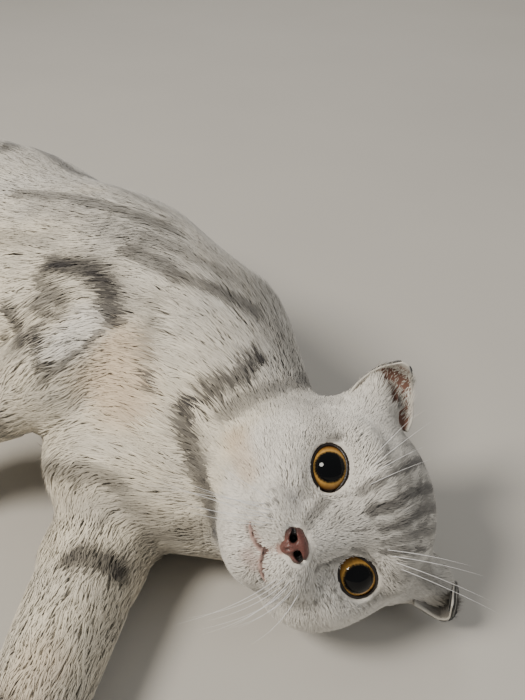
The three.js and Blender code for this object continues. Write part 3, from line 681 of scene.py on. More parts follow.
class CoatColours:
    """The coat's colours at any place, the same for the skin and for every tuft, with painted shade in some
    folds.
    """

    BEND = 9
    TRUNK_WAVE = 5.2
    LEG_WAVE = 3.9
    LEG_START = 0.18
    SEEN_LEG_START = 0.9
    LEG_SHADE = 0.6
    TAIL_WAVE = 4.2
    TAIL_SHADE = 0.75
    TAIL_TIP_SHADE = 0.85
    SPINE_SHADE = 0.8
    FAR_SHADE = 0.5
    FRECKLE_SHADE = 0.75
    SPECKLE_SHADE = 0.62

    def __init__(self) -> None:
        """Carry the photograph's marks and painted fold shade on to the body, and lay the unseen ones on it.
        """
        self.stripes_and_fold_shade = [(self.carried(dark_mark.path), dark_mark) for dark_mark in SEEN_STRIPES_AND_FOLD_SHADE]
        self.patches = [(self.carried(patch.path), patch) for patch in SEEN_PATCHES]
        self.freckles = PHOTO.touch(np.array(FRECKLES, float), body_field)

    @staticmethod
    def carried(path: tuple) -> Array:
        """A path of pixels as points on the body, with one more between each two."""
        pixels = np.array(path, float)
        fine = np.concatenate([[a, (a + b) / 2] for a, b in zip(pixels[:-1], pixels[1:])] + [pixels[-1:]])
        return PHOTO.touch(fine, body_field)

    def bands(self, points: Array) -> Array:
        """Stripes where the photograph doesn't reach: across the trunk's rear, legs and tail.

        Each is a wave along a stretch of the body, bent a little by noise.

        Args:
            points: Positions in millimetres, one a row.

        Returns:
            Darkness from 0 to 1.
        """
        local = TRUNK.inside(points)
        bend = wavy(points, 90, 3) * self.BEND
        rear = smooth(90.0, 130.0, -local[:, 0])
        lines = smooth(0.25, 0.85, np.sin((local[:, 2] * 0.5 + local[:, 0] * 0.25 + bend) / self.TRUNK_WAVE))
        back = smooth(-25.0, 25.0, local[:, 2])
        spine = smooth(8.0, 3.0, np.abs(local[:, 1] + bend * 0.4)) * smooth(30.0, 48.0, local[:, 2])
        dark = np.maximum(rear * lines * (0.35 + 0.35 * back), self.SPINE_SHADE * spine)
        far_side = smooth(20.0, 45.0, local[:, 1]) * smooth(-20.0, 30.0, local[:, 2])
        dark = np.maximum(dark, self.FAR_SHADE * far_side * lines)
        for leg in LEGS:
            upper, shank, paw = leg.bones()
            first = self.SEEN_LEG_START if leg.name == "foreleg_left" else self.LEG_START
            for bone, start in ((shank, first), (paw, -1.0)):
                t, away = bone.along(points)
                length = np.linalg.norm(np.subtract(bone.end, bone.start))
                near = smooth(bone.start_radius + 9, bone.start_radius + 3, away)
                near = near * smooth(start, start + 0.12, t)
                ring = smooth(0.45, 0.9, np.sin(t * length / self.LEG_WAVE + bend * 0.2))
                dark = np.maximum(dark, near * self.LEG_SHADE * ring)
        for number, bone in enumerate(TAIL_BONES):
            t, away = bone.along(points)
            length = np.linalg.norm(np.subtract(bone.end, bone.start))
            near = smooth(bone.start_radius + 7, bone.start_radius + 3, away)
            ring = smooth(0.1, 0.7, np.sin(t * length / self.TAIL_WAVE + number)) * self.TAIL_SHADE
            last = number == len(TAIL_BONES) - 1
            dark = np.maximum(dark, near * (self.TAIL_TIP_SHADE if last else ring))
        return dark

    def colour(self, points: Array, normals: Array) -> Array:
        """The coat's colour, with painted shade in the folds of the neck and a crease of the brow.

        Args:
            points: Positions in millimetres, one a row.
            normals: The way the body faces at each.

        Returns:
            Light values of red, green and blue.
        """
        local = TRUNK.inside(points)
        in_head = HEAD.inside(points)
        uneven = wavy(points, 34, 5)
        fine = wavy(points, 9, 6)
        belly = smooth(5.0, -45.0, local[:, 2]) * smooth(-160, -120, -np.abs(local[:, 0] - 20))
        rise = smooth(-0.2, 0.7, normals @ TRUNK.ways(np.array([0.0, 0.0, 1.0])))
        base = mixed(Tint.SILVER.light, Tint.SMOKE.light, (0.5 * rise + 0.12 * uneven).clip(0, 1)[:, None])
        cream = (0.75 * belly + 0.15 * uneven).clip(0, 0.85)
        on_head = smooth(3.0, -3.0, joined(HEAD_MASSES, points) - 2.0)
        base = mixed(base, Tint.CREAM.light, (cream * (1 - on_head))[:, None])
        crown = smooth(12.0, 52.0, in_head[:, 2] - in_head[:, 0] * 0.3)[:, None] * 0.75
        face = mixed(Tint.WHITE.light, Tint.SMOKE.light, crown)
        base = mixed(base, face, on_head[:, None])
        for path, patch in self.patches:
            share = patch.strength * smooth(patch.width * 1.6, patch.width * 0.3, path_distance(points, path))
            base = mixed(base, patch.tint.light, share[:, None])
        dark = self.bands(points) * (1 - on_head)
        for path, dark_mark in self.stripes_and_fold_shade:
            away = path_distance(points, path) + 0.9 * fine + 0.6 * uneven
            dark = np.maximum(dark, dark_mark.strength * smooth(dark_mark.width * 1.35, dark_mark.width * 0.45, away))
        spots = np.min([np.linalg.norm(points - spot, axis=1) for spot in self.freckles], 0)
        freckle = smooth(FRECKLE_RADIUS * 1.3, FRECKLE_RADIUS * 0.5, spots)
        dark = np.maximum(dark, self.FRECKLE_SHADE * freckle)
        forehead = on_head * smooth(14.0, 26.0, in_head[:, 2]) * smooth(34.0, 20.0, np.abs(in_head[:, 1]))
        speckle = smooth(0.1, 0.6, wavy(points * np.array([0.6, 1.0, 1.0]), 6.5, 9))
        dark = np.maximum(dark, forehead * speckle * self.SPECKLE_SHADE)
        dark = (dark * (0.88 + 0.16 * fine)).clip(0, 1)
        return mixed(base, Tint.STRIPE_AND_FOLD_SHADE.light, dark[:, None]) * (1 + 0.06 * fine + 0.05 * uneven)[:, None]


def eye_axes(side: int) -> Axes:
    """Axes of an eye: out of the socket, towards its outer corner, and across."""
    forward, left, up = EYE_PLACE
    look = HEAD.ways(np.array([np.cos(EYE_TURN_OUT), side * np.sin(EYE_TURN_OUT), 0.05]))
    outer = HEAD.ways(np.array([0.0, side * np.cos(EYE_SLANT), np.sin(EYE_SLANT)]))
    return Axes(tuple(HEAD.out((forward, side * left, up))), tuple(look), tuple(outer))


def eye_box_middle(side: int) -> Array:
    """The middle of the box round the solid's eyeball, from the solid's own profile.

    Args:
        side: 1 for the left eye and -1 for the right.

    Returns:
        The middle, in the head's frame.
    """
    angle = np.pi * np.arange(11) / 10
    across = EYE_RADIUS * np.sin(angle)
    bulge = CORNEA_RISE * np.maximum(0, 1 - (across / CORNEA_RADIUS) ** 2)
    rise = np.where(angle > np.pi / 2 + 1e-9, bulge, 0.0)
    height = -EYE_RADIUS * np.cos(angle) + rise
    across[[0, -1]] = 0.0
    turn = 2 * np.pi * np.arange(16) / 16
    place = np.stack([np.repeat(height[:, None], 16, 1), across[:, None] * np.sin(turn),
                      -across[:, None] * np.cos(turn)], -1).reshape(-1, 3)
    points = eye_axes(side).out(place)
    return (points.min(0) + points.max(0)) / 2


# Depths of the coat in millimetres.
FACE_DEPTH = 2.2
TRUNK_DEPTH = 3.2
NOSE_DEPTH = 1.2
LEG_DEPTH = 2.8
PAW_DEPTH = 2.0
MUZZLE = (40.0, 0.0, -22.0)


def coat_depth(points: Array) -> Array:
    """How deep the coat is: shallow on the face and paws, deepest on the trunk."""
    depth = mixed(FACE_DEPTH, TRUNK_DEPTH, smooth(-2.0, 16.0, joined(HEAD_MASSES, points)))
    nose = np.linalg.norm(HEAD.inside(points) - np.array(MUZZLE), axis=1)
    depth = mixed(NOSE_DEPTH, depth, smooth(8.0, 30.0, nose))
    for leg in LEGS:
        _, lower, paw = leg.bones()
        for bone, deep in ((lower, LEG_DEPTH), (paw, PAW_DEPTH)):
            _, away = bone.along(points)
            depth = mixed(deep, depth, smooth(bone.start_radius + 2, bone.start_radius + 12, away))
    return depth


def eye_ring(side: int, points: Array) -> tuple[Array, Array]:
    """Places along an eye's axes, and how far out each is, with 1 on the edge of its opening."""
    place = eye_axes(side).inside(points)
    return place, np.hypot(place[:, 1] / EYE_HALF_LENGTH, place[:, 2] / EYE_HALF_HEIGHT)


def almond(side: int, turn: Array, grow: float = 1.0) -> tuple[Array, Array]:
    """The outline of the eye's opening: an ellipse drawn out to a point at the inner corner.

    Args:
        side: 1 for the left eye and -1 for the right.
        turn: Angles round the opening, 0 at the outer corner.
        grow: How much larger than the opening.

    Returns:
        Distances towards the outer corner and across.
    """
    inner = np.where(np.cos(turn) < 0, 1 + 0.22 * np.cos(turn) ** 6, 1.0)
    return EYE_HALF_LENGTH * grow * inner * np.cos(turn), EYE_HALF_HEIGHT * grow * np.sin(turn) * side


def on_face(left: float, up: float, lift: float = 0.0) -> Array:
    """The point of the face at given left and up distances, found by halving."""
    inner, outer = 0.0, 70.0
    for _ in range(30):
        middle = (inner + outer) / 2
        inside = joined(HEAD_MASSES, HEAD.out(np.array([[middle, left, up]])))[0] < 0
        inner, outer = (middle, outer) if inside else (inner, middle)
    return HEAD.out((inner + lift, left, up))


def lip_path(lift: float) -> Array:
    """The line of the mouth across the whole face, from its right corner to its left."""
    left = [on_face(l, u, lift) for l, u in LIP_LINE]
    right = [on_face(-l, u, lift) for l, u in LIP_LINE[1:]]
    return np.array(right[::-1] + left)


def by_nose(forward: float, left: float, up: float) -> tuple:
    """A place in the head given from the middle of the nose."""
    return tuple(np.add(NOSE_PLACE, (forward, left, up)))


def nose_pad(points: Array) -> Array:
    """The nose leather before its nostrils are cut: a bar, a wing on each side and a wedge below."""
    masses = [Mass(Egg(HEAD, by_nose(0.0, 0.0, 1.7), (5.0, 5.8, 2.7)), 1)]
    masses += [Mass(Egg(HEAD, by_nose(0.5, s * 4.2, -0.5), (4.6, 3.0, 3.1)), 2) for s in SIDES]
    masses.append(Mass(Egg(HEAD, by_nose(0.4, 0.0, -2.5), (4.8, 3.2, 3.9)), 2))
    return joined(masses, points)


def nose_field(points: Array) -> Array:
    """The nose leather with a comma-shaped nostril on each side and a groove below."""
    cuts = []
    for s in SIDES:
        inner = by_nose(5.0, s * 3.1, -0.9)
        cuts.append(head_limb(inner, by_nose(1.5, s * 7.0, 0.8), 1.5, 0.7))
        cuts.append(head_limb(inner, by_nose(0.5, s * 2.6, -0.4), 1.6, 1.2))
    cuts.append(head_limb(by_nose(6.2, 0, -1.5), by_nose(3.2, 0, -6.5), 0.55, 0.7))
    return joined([Mass(cut, 0.8, True) for cut in cuts], points, nose_pad(points))


# The face's middle and reach, the lids' swell, the lips' roll, the groove of the mouth, the nose's
# seat, the reach of the ear's hollow and the skin's height above the floor, in millimetres.
FACE_MIDDLE = (25.0, 0.0, -10.0)
FACE_REACH = 62
LID_LIFT = 0.7
LID_BLEND = 3.0
OPENING_GROW = 1.04
LIP_RADIUS = 1.6
LIP_BLEND = 2.0
MOUTH_RADIUS = 0.9
MOUTH_BLEND = 0.8
NOSE_GAP = 0.6
EAR_REACH = 40
FLOOR_GAP = 0.8

LIPS = lip_path(-2.0)
MOUTH = lip_path(-0.9)
PHILTRUM = np.array([on_face(left, up, -1.0) for left, up in PHILTRUM_LINE])


def skin_field(points: Array) -> Array:
    """The skin: the body less its coat, with the eyes' openings, the mouth and the nose's seat."""
    value = body_field(points) + coat_depth(points)
    near = np.linalg.norm(points - HEAD.out(FACE_MIDDLE), axis=1) < FACE_REACH
    face = points[near]
    skin = value[near]
    for side in SIDES:
        place, ring = eye_ring(side, face)
        bump = np.linalg.norm(place, axis=1) - (EYE_RADIUS + LID_LIFT)
        skin = blended(skin, bump, LID_BLEND)
        opening = np.maximum((ring - OPENING_GROW) * EYE_HALF_HEIGHT, -place[:, 0])
        skin = np.maximum(skin, -opening)
    skin = blended(skin, path_distance(face, LIPS) - LIP_RADIUS, LIP_BLEND)
    mouth, philtrum = (path_distance(face, path) - MOUTH_RADIUS for path in (MOUTH, PHILTRUM))
    skin = carved(skin, -np.minimum(mouth, philtrum), MOUTH_BLEND)
    value[near] = np.maximum(skin, -nose_pad(face) - NOSE_GAP)
    for hollow in HOLLOWS:
        near = np.linalg.norm(points - hollow[0], axis=1) < EAR_REACH
        value[near] = np.maximum(value[near], HOLLOW_RADIUS - path_distance(points[near], hollow))
    return np.maximum(value, FLOOR_GAP - points[:, 2])


@dataclass
class Shape:
    """A mesh in millimetres in the head's frame, with a colour and a direction for each vertex."""

    vertices: Array
    faces: Array
    colours: Array | None = None
    normals: Array | None = None
    unwrap: Array | None = None

    def flipped_outward(self) -> "Shape":
        """The same shape with its faces turned so that it holds a positive volume."""
        a, b, c = (self.vertices[self.faces[:, n]] - self.vertices.mean(0) for n in range(3))
        if np.einsum("ij,ij->i", a, np.cross(b, c)).sum() < 0:
            return Shape(self.vertices, self.faces[:, ::-1].copy(), self.colours, self.normals, self.unwrap)
        return self


def merged(shapes: list[Shape]) -> Shape:
    """Several shapes as one mesh."""
    starts = np.cumsum([0] + [len(shape.vertices) for shape in shapes[:-1]])
    faces = np.concatenate([shape.faces + start for shape, start in zip(shapes, starts)])
    whole = Shape(np.concatenate([shape.vertices for shape in shapes]), faces)
    for key in ("colours", "normals", "unwrap"):
        if getattr(shapes[0], key) is not None:
            setattr(whole, key, np.concatenate([getattr(shape, key) for shape in shapes]))
    return whole


def tube(path: Array, radii: Array, sides: int = 6) -> Shape:
    """A closed tube: rings of points round a path, with both ends drawn to a point.

    Args:
        path: The middle line, one point a row.
        radii: The radius at each point.
        sides: Points in each ring.

    Returns:
        The tube.
    """
    way = unit(np.gradient(path, axis=0))
    side = unit(np.cross(way, np.array([0.31, 0.22, 0.93])))
    other = np.cross(way, side)
    turn = 2 * np.pi * np.arange(sides) / sides
    ring = (np.cos(turn)[None, :, None] * side[:, None] + np.sin(turn)[None, :, None] * other[:, None])
    vertices = (path[:, None] + ring * np.asarray(radii)[:, None, None]).reshape(-1, 3)
    row, column = np.meshgrid(np.arange(len(path) - 1), np.arange(sides), indexing="ij")
    a = row * sides + column
    b = row * sides + (column + 1) % sides
    quads = np.stack([a, b, b + sides, a + sides], -1).reshape(-1, 4)
    faces = np.concatenate([quads[:, [0, 1, 2]], quads[:, [0, 2, 3]]])
    last = (len(path) - 1) * sides
    fan = np.arange(1, sides - 1)
    caps = np.concatenate([np.stack([fan * 0, fan + 1, fan], 1), last + np.stack([fan * 0, fan, fan + 1], 1)])
    return Shape(vertices, np.concatenate([faces, caps])).flipped_outward()


@dataclass(frozen=True)
class EarSetting:
    """How one ear stands and folds."""

    side: int
    root: tuple
    rise: float
    lean: float
    turn: float
    fold: float
    fold_at: float
    cup: float
    sway: float

    def sheet(self, s: Array, t: Array) -> Array:
        """The ear's middle surface: an arc across, carried along a line that folds over.

        The arc is half a width wide at the root and narrows to the tip, and it is bent by the cup.
        The line climbs, then turns forward by the fold round the share fold_at of its length.

        Args:
            s: Across, from -1 to 1.
            t: From 0 at the root to 1 at the tip.

        Returns:
            Points along the head's axes.
        """
        up = unit(np.array([self.lean * 0.4, self.side * np.cos(self.rise), np.sin(self.rise)]))
        front = np.array([np.cos(self.turn), self.side * np.sin(self.turn) * 0.6, -np.sin(self.turn)])
        front = unit(front - up * (front @ up))
        across = np.cross(up, front) * self.side
        high_t = np.maximum(t, 0.0)
        half = EAR_WIDTH / 2 * np.maximum(0.1, 1 - high_t ** 1.5 * 0.9)
        bend = self.cup * (1 - 0.45 * high_t)
        wide = half * np.sin(s * bend) / np.sin(np.maximum(bend, 0.2))
        deep = half * (np.cos(s * bend) - np.cos(bend)) * 0.55
        steps = (np.arange(12) + 0.5) / 12
        flex = self.fold * smooth(self.fold_at - 0.2, self.fold_at + 0.2, t)
        angles = self.fold * smooth(self.fold_at - 0.2, self.fold_at + 0.2, t[..., None] * steps)
        high = np.cos(angles).mean(-1) * t * EAR_LENGTH
        forth = np.sin(angles).mean(-1) * t * EAR_LENGTH
        wide = wide + self.sway * EAR_LENGTH * high_t ** 1.5
        forth = forth - deep * np.cos(flex)
        high = high + deep * np.sin(flex)
        root = np.array(self.root)
        return root + forth[..., None] * front + wide[..., None] * across + high[..., None] * up

    def frame_at(self, s: Array, t: Array) -> tuple[Array, Array, Array]:
        """Point, normal on the cup's side and way to the tip at places of the sheet, in the room."""
        step = 0.01
        across = self.sheet(s + step, t) - self.sheet(s - step, t)
        along = self.sheet(s, t + step) - self.sheet(s, t - step)
        normal = unit(np.cross(across, along)) * self.side
        return HEAD.out(self.sheet(s, t)), HEAD.ways(normal), HEAD.ways(unit(along))


EARS = {
    "right": EarSetting(-1, (-4.5, -38.0, 32.5), 0.73, -0.65, -0.04, 1.12, 0.53, 1.17, 0.03),
    "left": EarSetting(1, (-8.0, 40.5, 33.5), 0.74, -0.52, -0.66, 2.2, 0.47, 0.84, 0.55),
}

HOLLOW_RADIUS = 5.2


def ear_hollow(ear: EarSetting) -> Array:
    """The line along which the head is scooped out before an ear's cup."""
    points, normals, _ = ear.frame_at(np.zeros(2), np.array([0.1, 0.55]))
    return points + normals * np.array([[4.4], [5.0]])


HOLLOWS = [ear_hollow(EARS["right"])]


def vertex_normals(vertices: Array, faces: Array) -> Array:
    """The mean of the normals of the triangles round each vertex, each by its area."""
    a, b, c = (vertices[faces[:, n]] for n in range(3))
    normal = np.cross(b - a, c - a)
    total = np.stack([sum(np.bincount(faces[:, n], normal[:, axis], len(vertices)) for n in range(3))
                      for axis in range(3)], 1)
    return unit(total)


def graded(low: float, high: float, fine_low: float, fine_high: float, steps: tuple) -> Array:
    """Grid places that stand close together in one stretch and further apart outside it."""
    fine, coarse = steps
    return np.concatenate([np.arange(low, fine_low, coarse), np.arange(fine_low, fine_high, fine),
                           np.arange(fine_high, high + coarse, coarse)])


def polygonised(value: Callable[[Array], Array], grids: tuple) -> Shape:
    """The zero surface of a field as triangles, with each vertex moved on to the field.

    Args:
        value: The field.
        grids: Grid places along X, Y and Z.

    Returns:
        The surface.
    """
    xs, ys, zs = grids
    values = np.empty((len(xs), len(ys), len(zs)))
    for first in range(0, len(xs), 8):
        mesh = np.meshgrid(xs[first:first + 8], ys, zs, indexing="ij")
        points = np.stack(mesh, -1).reshape(-1, 3)
        values[first:first + 8] = value(points).reshape(mesh[0].shape)
    vertices, quads = surface_nets(values, xs, ys, zs)
    for _ in range(2):
        vertices = vertices - slopes(value, vertices) * np.clip(value(vertices), -0.6, 0.6)[:, None] * 0.8
    faces = np.concatenate([quads[:, [0, 1, 2]], quads[:, [0, 2, 3]]])
    return Shape(vertices, faces).flipped_outward()


def grid_faces(rows: int, columns: int, wrap: bool = True) -> Array:
    """Triangles between the points of a grid, closed round its columns if wanted."""
    row, column = np.meshgrid(np.arange(rows - 1), np.arange(columns if wrap else columns - 1), indexing="ij")
    a = row * columns + column
    b = row * columns + (column + 1) % columns
    quads = np.stack([a, b, b + columns, a + columns], -1).reshape(-1, 4)
    return np.concatenate([quads[:, [0, 1, 2]], quads[:, [0, 2, 3]]])


class Lie:
    """The direction that the coat lies in: back from the nose, down each leg and along the tail."""

    NOSE = (46.0, 0.0, -18.0)
    SOFTNESS = 7.0

    def __init__(self) -> None:
        """List the stretches of the body with the direction of the hair along each."""
        spine = [Limb(NECK_BEND, CHEST, 50, 57), Limb(CHEST, RIBS, 60, 64), Limb(RIBS, LOIN, 64, 63),
                 Limb(LOIN, HIPS, 62, 62), Limb(HIPS, TAIL_POINTS[0], 44, 20)]
        self.spine_count = len(spine)
        self.stretches = spine
        self.stretches += [bone for leg in LEGS for bone in leg.bones()]
        self.stretches += TAIL_BONES

    def way(self, points: Array, normals: Array) -> Array:
        """The lie at points of the skin, along its surface.

        Each stretch counts by how near it is; the head's hair runs straight away from the nose.

        Args:
            points: Positions in millimetres, one a row.
            normals: The way the skin faces at each.

        Returns:
            Directions along the surface.
        """
        nose = HEAD.out(self.NOSE)
        share = np.exp(-np.maximum(joined(HEAD_MASSES, points) + 3, 0) / self.SOFTNESS)[:, None]
        total = unit(points - nose) * share * 3
        down = TRUNK.ways(np.array([0.0, 0.25, -0.35]))
        for number, bone in enumerate(self.stretches):
            share = np.exp(-np.maximum(bone.value(points) + 6, 0) / self.SOFTNESS)[:, None]
            run = unit(np.subtract(bone.end, bone.start)) + (down if number < self.spine_count else 0)
            total = total + run * share
        for side in SIDES:
            eye = eye_axes(side)
            place, ring = eye_ring(side, points)
            toward_eye = -unit(place[:, 1:2] * eye.turn[1] + place[:, 2:3] * eye.turn[2])
            pull = np.maximum(np.einsum("ij,ij->i", unit(total), toward_eye), 0)
            pull = pull * smooth(2.4, 1.4, ring) * (np.abs(place[:, 0]) < EYE_REACH)
            total = unit(total) - toward_eye * (1.25 * pull)[:, None]
        total = total - normals * np.einsum("ij,ij->i", total, normals)[:, None]
        return unit(total)


class Region(Enum):
    """The pieces of the coat."""

    FACE = "coat_face"
    HEAD_RIGHT = "coat_head_right"
    HEAD_LEFT = "coat_head_left"
    NECK = "coat_neck"
    CHEST = "coat_chest"
    FLANK = "coat_flank"
    BACK = "coat_back"
    RUMP = "coat_rump"
    FORELEG_RIGHT = "coat_foreleg_right"
    FORELEG_LEFT = "coat_foreleg_left"
    HINDLEGS = "coat_hindlegs"
    TAIL = "coat_tail"


REGIONS = list(Region)


def region_of(points: Array) -> Array:
    """The number of the coat's piece at each point."""
    region = np.empty(len(points), int)
    local = TRUNK.inside(points)
    region[:] = REGIONS.index(Region.FLANK)
    region[(local[:, 0] > 22) & (local[:, 1] < 8)] = REGIONS.index(Region.CHEST)
    region[local[:, 2] > 22] = REGIONS.index(Region.BACK)
    region[local[:, 0] < -62] = REGIONS.index(Region.RUMP)
    neck = np.min([mass.shape.value(points) for mass in TRUNK_MASSES[-2:]], 0)
    region[(neck < 1) & (local[:, 0] > 36)] = REGIONS.index(Region.NECK)
    legs = ((LEGS[0], Region.FORELEG_RIGHT), (LEGS[1], Region.FORELEG_LEFT), (LEGS[2], Region.HINDLEGS),
            (LEGS[3], Region.HINDLEGS))
    trunk = joined(TRUNK_MASSES, points)
    for leg, piece in legs:
        near = joined(leg.masses(), points)
        region[(near < 2) & (trunk > -1.0)] = REGIONS.index(piece)
    region[(tail_field(points) < 2) & (trunk > -1.0)] = REGIONS.index(Region.TAIL)
    head = joined(HEAD_MASSES, points)
    in_head = HEAD.inside(points)
    on_head = (head < 1.5) & (head < neck + 4)
    region[on_head & (in_head[:, 1] >= 0)] = REGIONS.index(Region.HEAD_LEFT)
    region[on_head & (in_head[:, 1] < 0)] = REGIONS.index(Region.HEAD_RIGHT)
    region[on_head & (in_head[:, 0] > 21)] = REGIONS.index(Region.FACE)
    return region


def unwrapped(points: Array) -> Array:
    """The unwrap of the skin: along the body and round it, and away from the nose on the head."""
    local = TRUNK.inside(points)
    in_head = HEAD.inside(points)
    trunk = np.stack([local[:, 0] / 640 + 0.55, np.arctan2(local[:, 1], local[:, 2]) / (2 * np.pi) + 0.5], 1)
    reach = np.arctan2(np.hypot(in_head[:, 1], in_head[:, 2]), in_head[:, 0]) / np.pi
    round_nose = np.arctan2(in_head[:, 1], in_head[:, 2])
    head = 0.5 + 0.48 * reach[:, None] * np.stack([np.cos(round_nose), np.sin(round_nose)], 1)
    on_head = (joined(HEAD_MASSES, points) < 4)[:, None]
    return np.clip(np.where(on_head, head, trunk), 0.004, 0.996)


def legs_unwrapped(points: Array, legs: list[Leg]) -> Array:
    """The unwrap of legs: down each leg and round it, one leg beside the other."""
    best = np.full(len(points), 1e9)
    result = np.zeros((len(points), 2))
    for place, leg in enumerate(legs):
        for number, bone in enumerate(leg.bones()):
            t, away = bone.along(points)
            away = away - bone.start_radius
            axes = Axes(bone.start, tuple(np.subtract(bone.end, bone.start)), (0.3, 0.2, 0.9))
            local = axes.inside(points)
            turn = np.arctan2(local[:, 1], local[:, 2]) / (2 * np.pi) + 0.5
            patch = np.stack([(place + turn) / len(legs), (number + t) / 3], 1)
            nearer = away < best
            result[nearer] = patch[nearer]
            best = np.minimum(best, away)
    return np.clip(result, 0.004, 0.996)


# Hair lower than this is pressed flat above the floor, over a softness, in millimetres.
FLOOR_HAIR = 1.2
FLOOR_SOFTNESS = 3.0


@dataclass
class Roots:
    """Where tufts grow: root, outer normal, lie, length, width, height and piece."""

    points: Array
    normals: Array
    ways: Array
    lengths: Array
    widths: Array
    heights: Array
    regions: Array

    def part(self, chosen: Array) -> "Roots":
        """The tufts picked by a mask."""
        return Roots(*(getattr(self, key)[chosen] for key in self.__dataclass_fields__))


@dataclass
class CoatBuilder:
    """Grows the coat on the skin, as many flat tapered tufts.

    A tuft has a root, a ring of three points nearer the root than the tip, and a tip. Seen from
    above it is a narrow leaf with a low ridge along it.
    """

    coat_colours: CoatColours
    lie: Lie
    head_length: float = 7.0
    trunk_length: float = 15.0
    nose_length: float = 2.2
    lid_length: float = 1.6
    leg_length: float = 10.0
    paw_length: float = 6.0
    tail_length: float = 13.0
    body_per_area: float = 0.66
    rear_per_area: float = 0.40
    head_per_area: float = 3.1
    width_least: float = 0.24
    width_share: float = 0.040
    middle_at: float = 0.42
    middle_rise: float = 0.80
    tip_at: float = 0.97
    tip_rise: float = 0.84
    ridge: float = 0.45
    colour_at: float = 0.45
    root_shade: float = 0.92
    side_shade: float = 0.93
    brightest: float = 0.92
    soft: float = 0.38
    patch_size: float = 0.0015

    def sizes(self, points: Array) -> tuple[Array, Array, Array]:
        """Length, width and height of the tufts at points of the skin.

        Args:
            points: Positions in millimetres, one a row.

        Returns:
            Lengths, widths and heights in millimetres.
        """
        head = joined(HEAD_MASSES, points)
        local = HEAD.inside(points)
        depth = coat_depth(points)
        length = mixed(self.head_length, self.trunk_length, smooth(0.0, 22.0, head + 3))
        nose = np.linalg.norm(local - np.array([42.0, 0.0, -21.0]), axis=1)
        length = mixed(self.nose_length, length, smooth(6.0, 46.0, nose))
        for side in SIDES:
            place, ring = eye_ring(side, points)
            ring = np.where(np.abs(place[:, 0]) < EYE_REACH, ring, FAR_RING)
            by_lid = mixed(self.lid_length, 8.0, smooth(1.1, 2.6, ring)) + 8 * (ring > 2.6)
            length = np.minimum(length, by_lid)
        mouth = np.minimum(path_distance(points, LIPS), path_distance(points, PHILTRUM))
        length = np.minimum(length, 0.9 + 0.7 * np.maximum(mouth - 1.0, 0) + 20 * (mouth > 9))
        for leg in LEGS:
            _, lower, paw = leg.bones()
            for bone, size in ((lower, self.leg_length), (paw, self.paw_length)):
                _, away = bone.along(points)
                near = smooth(bone.start_radius + 12, bone.start_radius + 2, away)
                length = mixed(length, np.minimum(length, size), near)
        for bone in TAIL_BONES:
            _, away = bone.along(points)
            length = mixed(length, self.tail_length, smooth(bone.start_radius + 8, bone.start_radius, away))
        return length, self.width_least + length * self.width_share, depth

    def grow(self, skin: Shape) -> Roots:
        """Spread the roots over the skin, closer on the head.

        Args:
            skin: The skin's surface.

        Returns:
            The roots.
        """
        draw = np.random.default_rng(SEED)
        corners = skin.vertices[skin.faces]
        middle = corners.mean(1)
        first_edge = corners[:, 1] - corners[:, 0]
        second_edge = corners[:, 2] - corners[:, 0]
        area = np.linalg.norm(np.cross(first_edge, second_edge), axis=1) / 2
        head = joined(HEAD_MASSES, middle)
        rear = smooth(-30.0, -110.0, TRUNK.inside(middle)[:, 0])
        density = mixed(self.head_per_area, mixed(self.body_per_area, self.rear_per_area, rear),
                        smooth(-1.0, 14.0, head))
        wanted = area * density
        count = int(wanted.sum())
        share = (np.arange(count) + draw.random(count)) / count
        chosen = np.searchsorted(np.cumsum(wanted) / wanted.sum(), share)
        chosen = np.minimum(chosen, len(middle) - 1)
        first, second = draw.random((2, count))
        root = np.sqrt(first)
        weights = np.stack([1 - root, root * (1 - second), root * second], 1)
        points = np.einsum("ij,ijk->ik", weights, corners[chosen])
        normals = unit(np.einsum("ij,ijk->ik", weights, skin.normals[skin.faces[chosen]]))
        keep = self.allowed(points, normals)
        points, normals = points[keep], normals[keep]
        length, width, height = self.sizes(points)
        length = length * draw.uniform(0.72, 1.25, len(points))
        width = width * draw.uniform(0.75, 1.3, len(points))
        way = self.lie.way(points, normals)
        side = np.cross(normals, way)
        stray = 0.26 * wavy(points, 13.0, 31) + 0.10 * draw.normal(size=len(points))
        way = unit(way + side * stray[:, None])
        return Roots(points, normals, way, length, width, height, region_of(points))

    @staticmethod
    def allowed(points: Array, normals: Array) -> Array:
        """Where hair grows: not in the eyes' openings, the nose's seat, the mouth or against the floor."""
        keep = ~((points[:, 2] < 2.6) & (normals[:, 2] < -0.75))
        for side in SIDES:
            place, ring = eye_ring(side, points)
            keep &= ~((ring < BARE_RING) & (np.abs(place[:, 0]) < EYE_REACH))
            keep &= np.linalg.norm(place, axis=1) > EYE_RADIUS - 1
        keep &= nose_pad(points) > 1.0
        keep &= path_distance(points, LIPS) > 1.4
        for hollow in HOLLOWS:
            keep &= path_distance(points, hollow) > HOLLOW_RADIUS + 1.2
        keep &= path_distance(points, PHILTRUM) > 1.0
        return keep

